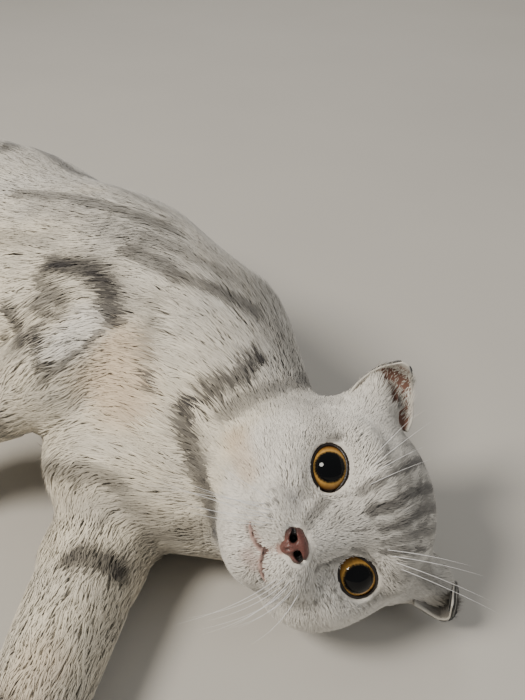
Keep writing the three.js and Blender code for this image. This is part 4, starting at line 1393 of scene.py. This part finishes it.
    def shape(self, roots: Roots, unwrap: Array, sink: float = 0.5) -> Shape:
        """The tufts' surface, five points and six triangles each.

        Args:
            roots: The roots.
            unwrap: Each root's place on the unwrap of the skin.
            sink: How deep the roots sit, in millimetres.

        Returns:
            The tufts as one mesh with colours, normals and unwrap.
        """
        draw = np.random.default_rng(SEED + len(roots.points))
        count = len(roots.points)
        n, w = roots.normals, roots.ways
        side = np.cross(n, w)
        length, height = roots.lengths[:, None], roots.heights[:, None]
        lift = draw.uniform(0.8, 1.06, (count, 1))
        root = roots.points - n * sink
        middle = roots.points + w * length * self.middle_at + n * height * self.middle_rise * lift
        curl = side * length * draw.normal(0, 0.05, (count, 1))
        tip = roots.points + w * length * self.tip_at + n * height * self.tip_rise * lift + curl
        half = (roots.widths / 2)[:, None]
        ring = [middle - side * half, middle + side * half, middle + n * half * self.ridge]
        points = np.stack([root, *ring, tip], 1)
        high = points[..., 2]
        low = high < FLOOR_HAIR
        pressed = 0.5 + 0.7 * np.exp((np.minimum(high, FLOOR_HAIR) - FLOOR_HAIR) / FLOOR_SOFTNESS)
        points[..., 2] = np.where(low, pressed, high)
        points[:, 3, 2] += np.where(low[:, 3], 0.25, 0.0)
        colour = self.coat_colours.colour(roots.points + w * length * self.colour_at + n * height, n)
        shade = draw.uniform(0.88, 1.08, (count, 1))
        # Painted shade: a tuft is darker at its root, deep in the coat, and on its two flanks than along its
        # ridge; its tip is a little lighter at random.
        dark_root = colour * shade * self.root_shade
        tone = colour * shade
        tip_tone = tone * draw.uniform(1.0, 1.12, (count, 1))
        flank = tone * self.side_shade
        colours = np.stack([dark_root, flank, flank, tone, np.minimum(tip_tone, self.brightest)], 1)
        normals = unit(np.stack([n, n - side * self.soft, n + side * self.soft, n, n + w * 0.15], 1))
        index = np.array([[0, 1, 3], [0, 3, 2], [0, 2, 1], [4, 3, 1], [4, 2, 3], [4, 1, 2]])
        faces = (np.arange(count)[:, None, None] * 5 + index).reshape(-1, 3)
        patch = np.array([[0, -1], [-1, 0], [1, 0], [0.2, 0.2], [0, 1]]) * self.patch_size
        spread = (unwrap[:, None] + patch).reshape(-1, 2)
        return Shape(points.reshape(-1, 3), faces, colours.reshape(-1, 3), normals.reshape(-1, 3),
                     spread).flipped_outward()


# The lids' rim: points along it and round it, its size round the opening, its half width and rise.
LID_POINTS = 96
LID_RING = 12
LID_GROW = 1.03
LID_WIDTH = 1.55
LID_RISE = 0.85

# The ear's flap: its points across and along, and where it starts below the root.
FLAP_ROWS = 41
FLAP_COLUMNS = 40
FLAP_START = -0.16


@dataclass
class HeadParts:
    """Eyes, lids, nose and ears."""

    eye_rows: int = 56
    eye_columns: int = 72
    pupil: float = 6.3
    iris_radius: float = 9.0

    def eye(self, side: int) -> Shape:
        """The eyeball: a ball by rings from back to front, with the clear front's bulge.

        Each ring's colour comes from its distance to the middle of the pupil: black pupil, amber
        iris with fine rays, a dark rim and then the white.

        Args:
            side: 1 for the left eye and -1 for the right.

        Returns:
            The ball.
        """
        angle = np.pi * np.linspace(0, 1, self.eye_rows) ** 0.8
        turn = 2 * np.pi * np.arange(self.eye_columns) / self.eye_columns
        angle, turn = np.meshgrid(angle, turn, indexing="ij")
        across = EYE_RADIUS * np.sin(angle)
        rise = np.where(angle > np.pi / 2, CORNEA_RISE * np.maximum(0, 1 - (across / CORNEA_RADIUS) ** 2), 0)
        depth = -EYE_RADIUS * np.cos(angle) + rise
        place = np.stack([depth, across * np.sin(turn), across * np.cos(turn)], -1)
        grain = np.sin(turn * 37 + 2 * np.sin(turn * 5)) * 0.5 + np.sin(turn * 61 + 1.3) * 0.3
        reach = across + 0.12 * grain
        front = angle > np.pi / 2
        amber = mixed(EyeTint.IRIS.light, EyeTint.OUTER_IRIS.light, smooth(6.4, 9.0, reach)[..., None])
        amber = amber * (1 + 0.22 * grain * smooth(5.2, 6.6, reach))[..., None]
        amber = mixed(EyeTint.INNER_IRIS.light, amber, smooth(5.8, 6.9, reach)[..., None])
        outside = smooth(self.pupil - 0.25, self.pupil + 0.25, reach)[..., None]
        colour = mixed(EyeTint.PUPIL.light, amber, outside)
        edge = smooth(self.iris_radius - 0.7, self.iris_radius, reach)[..., None]
        colour = mixed(colour, EyeTint.IRIS_RIM.light, edge)
        colour = mixed(EyeTint.BALL.light, colour, front[..., None])
        vertices = eye_axes(side).out(place.reshape(-1, 3))
        faces = grid_faces(self.eye_rows, self.eye_columns)
        faces = faces[self.whole(vertices, faces)]
        return welded(Shape(vertices, faces, colour.reshape(-1, 3))).flipped_outward()

    @staticmethod
    def whole(vertices: Array, faces: Array) -> Array:
        """Which triangles have some area, which those against a pole don't."""
        a, b, c = (vertices[faces[:, n]] for n in range(3))
        return np.linalg.norm(np.cross(b - a, c - a), axis=1) > 1e-6

    @staticmethod
    def lid(side: int) -> Shape:
        """The bare dark rim of the lids: a rounded roll along the opening, on the ball.

        Args:
            side: 1 for the left eye and -1 for the right.

        Returns:
            The rim as a closed ring.
        """
        turn = 2 * np.pi * np.arange(LID_POINTS) / LID_POINTS
        outer, across = almond(side, turn, LID_GROW)
        forward = np.sqrt(np.maximum((EYE_RADIUS + 0.5) ** 2 - outer ** 2 - across ** 2, 4.0))
        path = np.stack([forward, outer, across], 1)
        way = unit(np.roll(path, -1, 0) - np.roll(path, 1, 0))
        normal = unit(path)
        normal = unit(normal - way * np.einsum("ij,ij->i", way, normal)[:, None])
        wide = np.cross(way, normal)
        ring = 2 * np.pi * np.arange(LID_RING) / LID_RING
        corner = 1 + 0.7 * np.maximum(-np.cos(turn), 0) ** 8
        width = LID_WIDTH * corner[:, None, None]
        points = (path[:, None] + np.cos(ring)[:, None] * wide[:, None] * width
                  + np.sin(ring)[:, None] * normal[:, None] * LID_RISE)
        count = LID_POINTS * LID_RING
        faces = grid_faces(LID_POINTS + 1, LID_RING) % count
        colour = np.broadcast_to(EyeTint.LID.light, (count, 3))
        return Shape(eye_axes(side).out(points.reshape(-1, 3)), faces, colour).flipped_outward()

    @staticmethod
    def nose() -> Shape:
        """The nose leather, from its field on a fine grid, with painted shade in its nostrils."""
        middle = HEAD.out(NOSE_PLACE)
        grids = tuple(np.arange(middle[n] - 12.0, middle[n] + 12.0, 0.4) for n in range(3))
        shape = polygonised(nose_field, grids)
        # Painted shade: near black where the nostrils are carved into the pad.
        hollow = smooth(-0.25, -1.1, nose_pad(shape.vertices))[:, None]
        edge = smooth(1.5, 4.5, np.abs(HEAD.inside(shape.vertices)[:, 1]) - 2.0)[:, None]
        tone = mixed(BareTint.NOSE.light, BareTint.NOSE_EDGE.light, edge)
        shape.colours = mixed(tone, BareTint.NOSTRIL_SHADE.light, hollow)
        return shape

    @staticmethod
    def ear_grid() -> tuple[Array, Array]:
        """The places of a flap's points, across and from root to tip."""
        across = np.linspace(-1, 1, FLAP_ROWS)
        along = np.linspace(FLAP_START, 1, FLAP_COLUMNS)
        return tuple(np.meshgrid(across, along, indexing="ij"))

    @staticmethod
    def ear(ear: EarSetting) -> Shape:
        """An ear's flap: the sheet with its outer and inner faces and a round rim.

        Args:
            ear: How the ear stands.

        Returns:
            The flap, closed all round.
        """
        s, t = HeadParts.ear_grid()
        point, normal, _ = ear.frame_at(s, t)
        thick = (EAR_SKIN * (1 - 0.35 * np.abs(s) ** 3) * (1 - 0.3 * np.maximum(t, 0)))[..., None]
        outer = point - normal * thick / 2
        inner = point + normal * thick / 2
        rows, columns = s.shape
        border = np.concatenate([np.arange(columns), np.arange(1, rows) * columns + columns - 1,
                                 (rows - 1) * columns + np.arange(columns - 2, -1, -1),
                                 np.arange(rows - 2, 0, -1) * columns])
        front = grid_faces(rows, columns, wrap=False)
        count = rows * columns
        next_border = np.roll(border, -1)
        wall = np.concatenate([np.stack([border, border + count, next_border], 1),
                               np.stack([next_border, border + count, next_border + count], 1)])
        faces = np.concatenate([front, front[:, ::-1] + count, wall])
        vertices = np.concatenate([outer.reshape(-1, 3), inner.reshape(-1, 3)])
        return Shape(vertices, faces).flipped_outward()


def welded(shape: Shape) -> Shape:
    """The same shape with vertices in the same place made one."""
    _, first, back = np.unique(np.round(shape.vertices, 5), axis=0, return_index=True, return_inverse=True)
    faces = back.reshape(-1)[shape.faces]
    whole = (faces[:, 0] != faces[:, 1]) & (faces[:, 1] != faces[:, 2]) & (faces[:, 2] != faces[:, 0])
    colours = None if shape.colours is None else shape.colours[first]
    return Shape(shape.vertices[first], faces[whole], colours)


@dataclass(frozen=True)
class Whisker:
    """A long hair: its root on the face, the direction it takes, its length and its bend."""

    root: tuple
    way: tuple
    length: float
    droop: tuple
    radius: float = 0.14

    def shape(self) -> Shape:
        """The hair as a tube that tapers to its tip and bends evenly, clear of the floor."""
        left, up = self.root
        start = on_face(left, up, -1.5)
        t = np.linspace(0, 1, 14)[:, None]
        way = HEAD.ways(unit(np.array(self.way)))
        path = start + way * self.length * t + np.array(self.droop) * self.length * t ** 2.2
        path[:, 2] = np.maximum(path[:, 2], 1.0 + 0.02 * path[:, 2])
        return tube(path, self.radius * (1.05 - t[:, 0] ** 1.5), 5)


# Rows and columns of whiskers on a cheek, and long hairs over an eye.
WHISKER_ROWS = 3
WHISKER_COLUMNS = 3
BROW_HAIRS = 4

# Least and greatest lengths of both in millimetres, and the radius of the brow's hairs.
WHISKER_LENGTHS = (24, 42)
BROW_LENGTHS = (26, 40)
BROW_RADIUS = 0.13


def whiskers() -> Shape:
    """The whiskers of both cheeks and the long hairs over the eyes."""
    draw = np.random.default_rng(SEED + 1)
    hairs = []
    for side in SIDES:
        for row in range(WHISKER_ROWS):
            for column in range(WHISKER_COLUMNS):
                root = (side * (10.0 + 3.6 * column), -23.5 - 3.2 * row)
                way = (0.28 - 0.10 * column, side * (0.52 + 0.05 * column - 0.1 * row), -0.80 - 0.1 * row)
                way = np.array(way) + draw.normal(0, 0.07, 3)
                droop = (-0.30, 0.16, 0.06) + draw.normal(0, 0.05, 3)
                length = draw.uniform(*WHISKER_LENGTHS) * (1 - 0.08 * column)
                hairs.append(Whisker(root, tuple(way), length, tuple(droop)).shape())
        for n in range(BROW_HAIRS):
            root = (side * (13.0 + 3.0 * n), 13.0 + 1.2 * n)
            way = np.array((0.42, side * (0.25 + 0.12 * n), 0.9)) + draw.normal(0, 0.06, 3)
            droop = np.array((0.0, 0.0, -0.12)) + draw.normal(0, 0.04, 3)
            length = draw.uniform(*BROW_LENGTHS)
            hairs.append(Whisker(root, tuple(way), length, tuple(droop), BROW_RADIUS).shape())
    return merged(hairs)


class Wire:
    """A value inside a material, on which ordinary sums and products add their nodes."""

    def __init__(self, finish: "Nodes", socket: bpy.types.NodeSocket) -> None:
        """Wrap a socket of a finish's nodes."""
        self.finish = finish
        self.socket = socket

    def _math(self, operation: str, *values: "Wire | float") -> "Wire":
        """One Math node on the values."""
        return self.finish.node("ShaderNodeMath", {"operation": operation}, dict(enumerate(values)))

    def __rsub__(self, other: float) -> "Wire":
        """Difference from a number."""
        return self._math("SUBTRACT", other, self)

    def __mul__(self, other: "Wire | float") -> "Wire":
        """Product."""
        return self._math("MULTIPLY", self, other)


class Nodes:
    """A material under construction."""

    def __init__(self, name: str, **constants: float | tuple) -> None:
        """Start a material whose shader has the given constants.

        Args:
            name: The material's name.
            constants: Socket names, with _ for a space, and their values.
        """
        self.material = bpy.data.materials.new(name)
        self.material.use_nodes = True
        self.tree = self.material.node_tree
        self.shader = self.tree.nodes["Principled BSDF"]
        for key, value in constants.items():
            self.shader.inputs[key.replace("_", " ")].default_value = value

    def node(self, kind: str, settings: dict | None = None, inputs: dict | None = None,
             output: str | int = 0) -> Wire:
        """Add a node.

        Args:
            kind: The node's type.
            settings: Its settings, set first.
            inputs: Values or wires for its sockets, by name or number.
            output: Which of its outputs is wanted.

        Returns:
            That output.
        """
        made = self.tree.nodes.new(kind)
        for key, value in (settings or {}).items():
            setattr(made, key, value)
        for key, value in (inputs or {}).items():
            if isinstance(value, Wire):
                self.tree.links.new(value.socket, made.inputs[key])
            else:
                made.inputs[key].default_value = value
        return Wire(self, made.outputs[output])

    def place(self) -> Wire:
        """Object coordinates."""
        return self.node("ShaderNodeTexCoord", output="Object")

    def noise(self, scale: float, detail: float = 3.0) -> Wire:
        """Noise over the object, from 0 to 1."""
        return self.node("ShaderNodeTexNoise", {}, {"Vector": self.place(), "Scale": scale, "Detail": detail})

    def painted(self) -> Wire:
        """The colour that each vertex of the piece carries."""
        return self.node("ShaderNodeAttribute", {"attribute_name": COLOUR_LAYER}, output="Color")

    def mixed(self, share: Wire | float, a: Wire | tuple, b: Wire | tuple, blend: str = "MIX") -> Wire:
        """A mix of two colours."""
        settings = {"data_type": "RGBA", "blend_type": blend}
        return self.node("ShaderNodeMix", settings, {0: share, 6: a, 7: b}, 2)

    def bump(self, height: Wire, strength: float, distance: float) -> Wire:
        """A bumped normal."""
        return self.node("ShaderNodeBump", {}, {"Height": height, "Strength": strength, "Distance": distance})

    def feed(self, **wires: Wire) -> bpy.types.Material:
        """Connect wires to the shader and give the material back."""
        for key, wire in wires.items():
            self.tree.links.new(wire.socket, self.shader.inputs[key.replace("_", " ")])
        return self.material


COLOUR_LAYER = "coat"
COBBLE_SCALE = 1500.0


def grey(value: float) -> tuple:
    """A grey as red, green, blue and alpha."""
    return (value, value, value, 1.0)


@dataclass(frozen=True)
class HairFinish:
    """Soft hair: dull, with a faint sheen and fine streaks."""

    name: str = "coat_hair"
    roughness: float = 0.62
    sheen: float = 0.25
    patch_scale: float = 900.0
    streak_scale: float = 2600.0
    patch_share: float = 0.22
    bump_depth: float = 0.0002

    def material(self) -> bpy.types.Material:
        """Make the material."""
        nodes = Nodes(self.name, Roughness=self.roughness, Sheen_Weight=self.sheen, Sheen_Roughness=0.5,
                      Specular_IOR_Level=0.3)
        patchy = nodes.mixed(nodes.noise(self.patch_scale, 2.0), grey(0.5), grey(1.0))
        tone = nodes.mixed(self.patch_share, nodes.painted(), patchy, "MULTIPLY")
        streaks = nodes.noise(self.streak_scale, 2.0)
        return nodes.feed(Base_Color=tone, Normal=nodes.bump(streaks, 0.2, self.bump_depth))


@dataclass(frozen=True)
class SkinFinish:
    """Skin under the coat: the coat's colour, with short down as fine bump."""

    name: str = "coat_skin"
    roughness: float = 0.75
    down_scale: float = 1700.0
    down_share: float = 0.2
    bump_depth: float = 0.0006

    def material(self) -> bpy.types.Material:
        """Make the material."""
        nodes = Nodes(self.name, Roughness=self.roughness, Specular_IOR_Level=0.25)
        down = nodes.noise(self.down_scale, 4.0)
        speckle = nodes.mixed(down, grey(0.35), grey(1.0))
        tone = nodes.mixed(self.down_share, nodes.painted(), speckle, "MULTIPLY")
        return nodes.feed(Base_Color=tone, Normal=nodes.bump(down, 0.6, self.bump_depth))


@dataclass(frozen=True)
class EyeFinish:
    """The wet, clear front of the eye over its painted iris."""

    name: str = "eye_clear"
    roughness: float = 0.32
    coat_roughness: float = 0.015
    coat_index: float = 1.3
    grain_scale: float = 1500.0
    grain_share: float = 0.12

    def material(self) -> bpy.types.Material:
        """Make the material."""
        nodes = Nodes(self.name, Roughness=self.roughness, Specular_IOR_Level=0.0, Coat_Weight=1.0,
                      Coat_Roughness=self.coat_roughness, Coat_IOR=self.coat_index)
        grain = nodes.noise(self.grain_scale)
        return nodes.feed(Base_Color=nodes.mixed(self.grain_share, nodes.painted(), grain, "OVERLAY"))


@dataclass(frozen=True)
class LeatherFinish:
    """Bare skin of the nose and the lids' rims: fine cobbles, a little moist."""

    name: str
    roughness: float
    cobble: float
    depth: float

    def material(self) -> bpy.types.Material:
        """Make the material."""
        nodes = Nodes(self.name, Roughness=self.roughness, Specular_IOR_Level=0.45)
        cells = nodes.node("ShaderNodeTexVoronoi", {"feature": "F1"},
                           {"Vector": nodes.place(), "Scale": self.cobble}, "Distance")
        # Painted shade: darker in the grooves between the cobbles, where the bump is low.
        tone = nodes.mixed(cells * 0.55, nodes.painted(), grey(0.02))
        return nodes.feed(Base_Color=tone, Normal=nodes.bump(1 - cells, 0.5, self.depth))


@dataclass(frozen=True)
class WhiskerFinish:
    """Stiff pale hair with a soft gloss."""

    name: str = "whisker"

    def material(self) -> bpy.types.Material:
        """Make the material."""
        nodes = Nodes(self.name, Roughness=0.35, Specular_IOR_Level=0.5)
        return nodes.feed(Base_Color=nodes.mixed(nodes.noise(60.0), grey(0.55), grey(0.86)))


@dataclass
class Workshop:
    """Puts shapes into the scene, in metres in the model's frame."""

    shift: Array
    log: logging.Logger = field(default_factory=lambda: logging.getLogger("cat"))

    def piece(self, name: str, shape: Shape, material: bpy.types.Material, slot: str) -> bpy.types.Object:
        """Make one object from a shape.

        Args:
            name: The object's name.
            shape: The shape, in millimetres in the head's frame.
            material: Its material.
            slot: Not used.

        Returns:
            The object, riding on the model's one body.
        """
        mesh = bpy.data.meshes.new(name)
        vertices = ((shape.vertices + self.shift) * MM).astype(np.float32)
        faces = np.ascontiguousarray(shape.faces, np.int32)
        mesh.vertices.add(len(vertices))
        mesh.vertices.foreach_set("co", vertices.ravel())
        mesh.loops.add(faces.size)
        mesh.loops.foreach_set("vertex_index", faces.ravel())
        mesh.polygons.add(len(faces))
        mesh.polygons.foreach_set("loop_start", np.arange(len(faces), dtype=np.int32) * 3)
        mesh.update()
        mesh.polygons.foreach_set("use_smooth", np.ones(len(faces), bool))
        if shape.colours is not None:
            layer = mesh.color_attributes.new(COLOUR_LAYER, "FLOAT_COLOR", "POINT")
            rgba = np.concatenate([np.clip(shape.colours, 0, 1), np.ones((len(vertices), 1))], 1)
            layer.data.foreach_set("color", rgba.astype(np.float32).ravel())
        if shape.unwrap is not None:
            layer = mesh.uv_layers.new(name="OFBake")
            layer.data.foreach_set("uv", shape.unwrap[faces.ravel()].astype(np.float32).ravel())
        if shape.normals is not None:
            mesh.normals_split_custom_set_from_vertices(shape.normals.tolist())
        mesh.validate(clean_customdata=False)
        mesh.materials.append(material)
        thing = bpy.data.objects.new(name, mesh)
        bpy.context.scene.collection.objects.link(thing)
        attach(thing, "root")
        self.log.info("%s: %d triangles", name, len(faces))
        return thing


# How much darker the skin is than the hair over it, as painted shade deep in the coat, and the cells of the
# skin's grid in millimetres.
SKIN_SHADE = 0.94
FINE_CELL = 1.35
FINE_HEIGHT = 1.7
COARSE_CELL = 4.4

# Tufts on the back of an ear, in the bare cup of the right ear and in the furred fold of the left.
BACK_TUFTS = 5200
CUP_TUFTS = 520
FOLD_TUFTS = 2200

# Their least and greatest lengths and widths, and how high they stand, in millimetres.
BACK_LENGTHS = (2.6, 4.6)
BACK_WIDTHS = (0.3, 0.55)
BACK_HEIGHT = 1.1
CUP_LENGTHS = (5, 10)
CUP_WIDTHS = (0.2, 0.36)
CUP_HEIGHT = 1.6

FLESH = ("head", "neck", "chest", "belly", "rump", "ear_right", "ear_left", "tail_base", "tail_middle",
         "tail_tip", *(f"{leg.name}_{length}" for leg in LEGS for length in leg.nodes))


class Cat:
    """The whole cat: skin, coat, ears, eyes, nose and whiskers."""

    def __init__(self, workshop: Workshop) -> None:
        """Prepare the coat's colours, the lie and the finishes."""
        self.workshop = workshop
        self.coat_colours = CoatColours()
        self.lie = Lie()
        self.hair = HairFinish().material()

    @staticmethod
    def skin_colour(points: Array, colour: Array) -> Array:
        """The skin's colour with pale lips, the dark line of the mouth, which is partly painted shade in its
        groove, and the ear's bare cup.
        """
        philtrum = path_distance(points, PHILTRUM)
        lips = np.minimum(path_distance(points, LIPS), philtrum)[:, None]
        colour = mixed(colour, BareTint.LIP.light, smooth(2.8, 1.7, lips))
        # The dark line of the mouth and philtrum: partly the lips' own dark edge, partly painted shade in the
        # groove.
        slit = np.minimum(path_distance(points, MOUTH), philtrum)[:, None]
        colour = mixed(colour, BareTint.SLIT.light, smooth(1.2, 0.8, slit))
        cups = np.min([path_distance(points, hollow) for hollow in HOLLOWS], axis=0)[:, None]
        return mixed(colour, EarTint.CUP.light, smooth(HOLLOW_RADIUS + 1.8, HOLLOW_RADIUS + 0.4, cups))

    def skin(self) -> Shape:
        """Build the skin with both ears and dress it in the coat's colours."""
        grids = (graded(-462.0, 64.0, -50.0, 58.0, (FINE_CELL, COARSE_CELL)),
                 graded(-152.0, 348.0, -58.0, 50.0, (FINE_CELL, COARSE_CELL)),
                 graded(-3.0, 152.0, -1.0, 104.0, (FINE_HEIGHT, COARSE_CELL)))
        body = polygonised(skin_field, grids)
        body.normals = vertex_normals(body.vertices, body.faces)
        outside = body.vertices + body.normals * coat_depth(body.vertices)[:, None]
        coat = self.coat_colours.colour(outside, body.normals)
        body.colours = self.skin_colour(body.vertices, coat * SKIN_SHADE)
        parts = [body]
        for ear in EARS.values():
            flap = HeadParts.ear(ear)
            flap.normals = vertex_normals(flap.vertices, flap.faces)
            inside = EarTint.CUP if ear.side < 0 else EarTint.BACK
            s, t = HeadParts.ear_grid()
            rim = smooth(0.84, 0.96, np.maximum(np.abs(s), t)).reshape(-1, 1)
            flap.colours = np.concatenate([mixed(EarTint.BACK.light * 0.8, EarTint.RIM.light, rim),
                                           mixed(inside.light, EarTint.RIM.light, rim)])
            parts.append(flap)
        thing = self.workshop.piece("skin", merged(parts), SkinFinish().material(), "coat")
        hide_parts(*FLESH)
        return body

    def coat(self, skin: Shape) -> None:
        """Grow the coat on the skin, one piece for each region."""
        builder = CoatBuilder(self.coat_colours, self.lie)
        roots = builder.grow(skin)
        legs = {Region.FORELEG_RIGHT: LEGS[:1], Region.FORELEG_LEFT: LEGS[1:2], Region.HINDLEGS: LEGS[2:]}
        for number, region in enumerate(REGIONS):
            part = roots.part(roots.regions == number)
            unwrap = legs_unwrapped(part.points, legs[region]) if region in legs else unwrapped(part.points)
            self.workshop.piece(region.value, builder.shape(part, unwrap), self.hair, "coat")
        self.ear_hair(builder)

    def ear_hair(self, builder: CoatBuilder) -> None:
        """Short hair on the ears' backs, pale hair in the right one's cup and grey in the left one's fold.

        Args:
            builder: The builder that shapes the tufts.
        """
        draw = np.random.default_rng(SEED + 7)
        for name, ear in EARS.items():
            count = BACK_TUFTS
            s = draw.uniform(-0.93, 0.93, count)
            t = draw.uniform(-0.05, 0.9, count)
            points, normals, ways = ear.frame_at(s, t)
            back = -normals
            way = unit(ways + np.cross(back, ways) * draw.normal(0, 0.2, (count, 1)))
            to_rim = 1.02 - np.maximum(np.abs(s), t)
            length = draw.uniform(*BACK_LENGTHS, count) * np.clip(3.2 * to_rim, 0.25, 1)
            roots = Roots(points + back * EAR_SKIN * 0.4, back, way, length,
                          draw.uniform(*BACK_WIDTHS, count), np.full(count, BACK_HEIGHT),
                          np.zeros(count, int))
            outer = builder.shape(roots, np.stack([0.5 + 0.45 * s, 0.05 + 0.9 * np.clip(t, 0, 1)], 1))
            rim = smooth(0.62, 0.95, np.maximum(np.abs(s), t))[:, None]
            tone = mixed(EarTint.BACK.light, EarTint.RIM.light, rim) * draw.uniform(0.75, 1.15, (count, 1))
            outer.colours = np.repeat(tone, 5, 0)
            count = CUP_TUFTS if ear.side < 0 else FOLD_TUFTS
            edge = draw.uniform(-0.9, 0.9, count)
            high = draw.uniform(-0.05, 0.8, count)
            points, normals, ways = ear.frame_at(edge, high)
            across = np.cross(normals, ways)
            way = unit(ways + across * (0.5 * np.sin(edge * 3) + draw.normal(0, 0.18, count))[:, None])
            length = draw.uniform(*CUP_LENGTHS, count) * np.clip(2.2 * (1.05 - high), 0.3, 1)
            roots = Roots(points, normals, way, length, draw.uniform(*CUP_WIDTHS, count),
                          np.full(count, CUP_HEIGHT), np.zeros(count, int))
            inner = builder.shape(roots, np.stack([0.5 + 0.45 * edge, 0.05 + 0.9 * high], 1))
            tone = (EarTint.HAIR if ear.side < 0 else EarTint.BACK).light * draw.uniform(0.7, 1.2, (count, 1))
            inner.colours = np.repeat(tone, 5, 0)
            self.workshop.piece(f"coat_ear_{name}", merged([outer, inner]), self.hair, "coat")

    def face(self) -> None:
        """Make the eyes, lids, nose and whiskers."""
        parts = HeadParts()
        clear = EyeFinish().material()
        rim = LeatherFinish("lid_rim", 0.33, COBBLE_SCALE, 0.00015).material()
        for side, name in ((1, "left"), (-1, "right")):
            eye = self.workshop.piece(f"eyeball_{name}", parts.eye(side), clear, "iris")
            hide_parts(f"eye_{name}")
            self.workshop.piece(f"lid_{name}", parts.lid(side), rim, "leather")
        leather = LeatherFinish("nose_leather", 0.42, COBBLE_SCALE, 0.0003).material()
        nose = self.workshop.piece("nose_leather", parts.nose(), leather, "leather")
        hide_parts("nose")
        self.workshop.piece("whiskers", whiskers(), WhiskerFinish().material(), "coat")


@dataclass(frozen=True)
class Lamp:
    """One soft round light: where it hangs and what it faces in metres, its width, watts and colour."""

    name: str
    place: tuple
    target: tuple
    width: float
    power: float
    tint: tuple

    def hang(self) -> None:
        """Hang the light, which shows in the eyes only if it is the window."""
        data = bpy.data.lights.new(self.name, "AREA")
        data.shape = "DISK"
        data.size = self.width
        data.energy = self.power
        data.color = self.tint
        lamp = bpy.data.objects.new(self.name, data)
        lamp.location = self.place
        lamp.visible_glossy = self.name == "window"
        way = unit(np.subtract(self.target, self.place))
        across = unit(np.cross(way, (0.0, 0.0, 1.0)))
        up = np.cross(across, way)
        lamp.matrix_world = [[*row, 0.0] for row in np.stack([across, up, -way])] + [[*self.place, 1.0]]
        bpy.context.scene.collection.objects.link(lamp)


LAMPS = (
    Lamp("window", (-0.9, -0.55, 1.35), (0.1, -0.05, 0.05), 0.6, 38.0, (1.0, 0.94, 0.85)),
    Lamp("fill", (1.3, -0.7, 0.9), (0.0, 0.0, 0.05), 1.2, 6.0, (0.93, 0.96, 1.0)),
    Lamp("rim", (0.3, 1.4, 1.2), (0.0, 0.0, 0.05), 0.9, 8.0, (1.0, 0.97, 0.93)),
)


@dataclass(frozen=True)
class Studio:
    """A plain pale floor and soft light."""

    floor_size: float = 3.0
    dark_floor: tuple = (0.43, 0.41, 0.375, 1.0)
    light_floor: tuple = (0.47, 0.45, 0.41, 1.0)
    room_colour: tuple = (0.92, 0.9, 0.86, 1.0)
    room_strength: float = 0.32

    def floor(self) -> None:
        """Lay the floor."""
        half = self.floor_size
        corners = [(-half, -half, 0), (half, -half, 0), (half, half, 0), (-half, half, 0)]
        mesh = bpy.data.meshes.new("floor")
        mesh.from_pydata(corners, [], [(0, 1, 2, 3)])
        nodes = Nodes("floor_paint", Roughness=0.8)
        tone = nodes.mixed(nodes.noise(6.0), self.dark_floor, self.light_floor)
        mesh.materials.append(nodes.feed(Base_Color=tone))
        thing = bpy.data.objects.new("floor", mesh)
        bpy.context.scene.collection.objects.link(thing)

    def build(self) -> None:
        """Make the floor, the lights and the even light of the room."""
        self.floor()
        for lamp in LAMPS:
            lamp.hang()
        world = bpy.data.worlds.new("room")
        world.use_nodes = True
        background = world.node_tree.nodes["Background"]
        background.inputs["Color"].default_value = self.room_colour
        background.inputs["Strength"].default_value = self.room_strength
        bpy.context.scene.world = world


def main() -> None:
    """Build the cat, the floor, the lights and the camera."""
    logging.basicConfig(level=logging.INFO, format="%(message)s")
    box = np.array(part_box("eye_right"))
    shift = box.mean(0) / MM - eye_box_middle(-1)
    logging.getLogger("cat").info("shift %s", shift)
    cat = Cat(Workshop(shift))
    skin = cat.skin()
    cat.coat(skin)
    cat.face()
    Studio().build()
    PHOTO.build(shift)


if __name__ == "__main__":
    main()
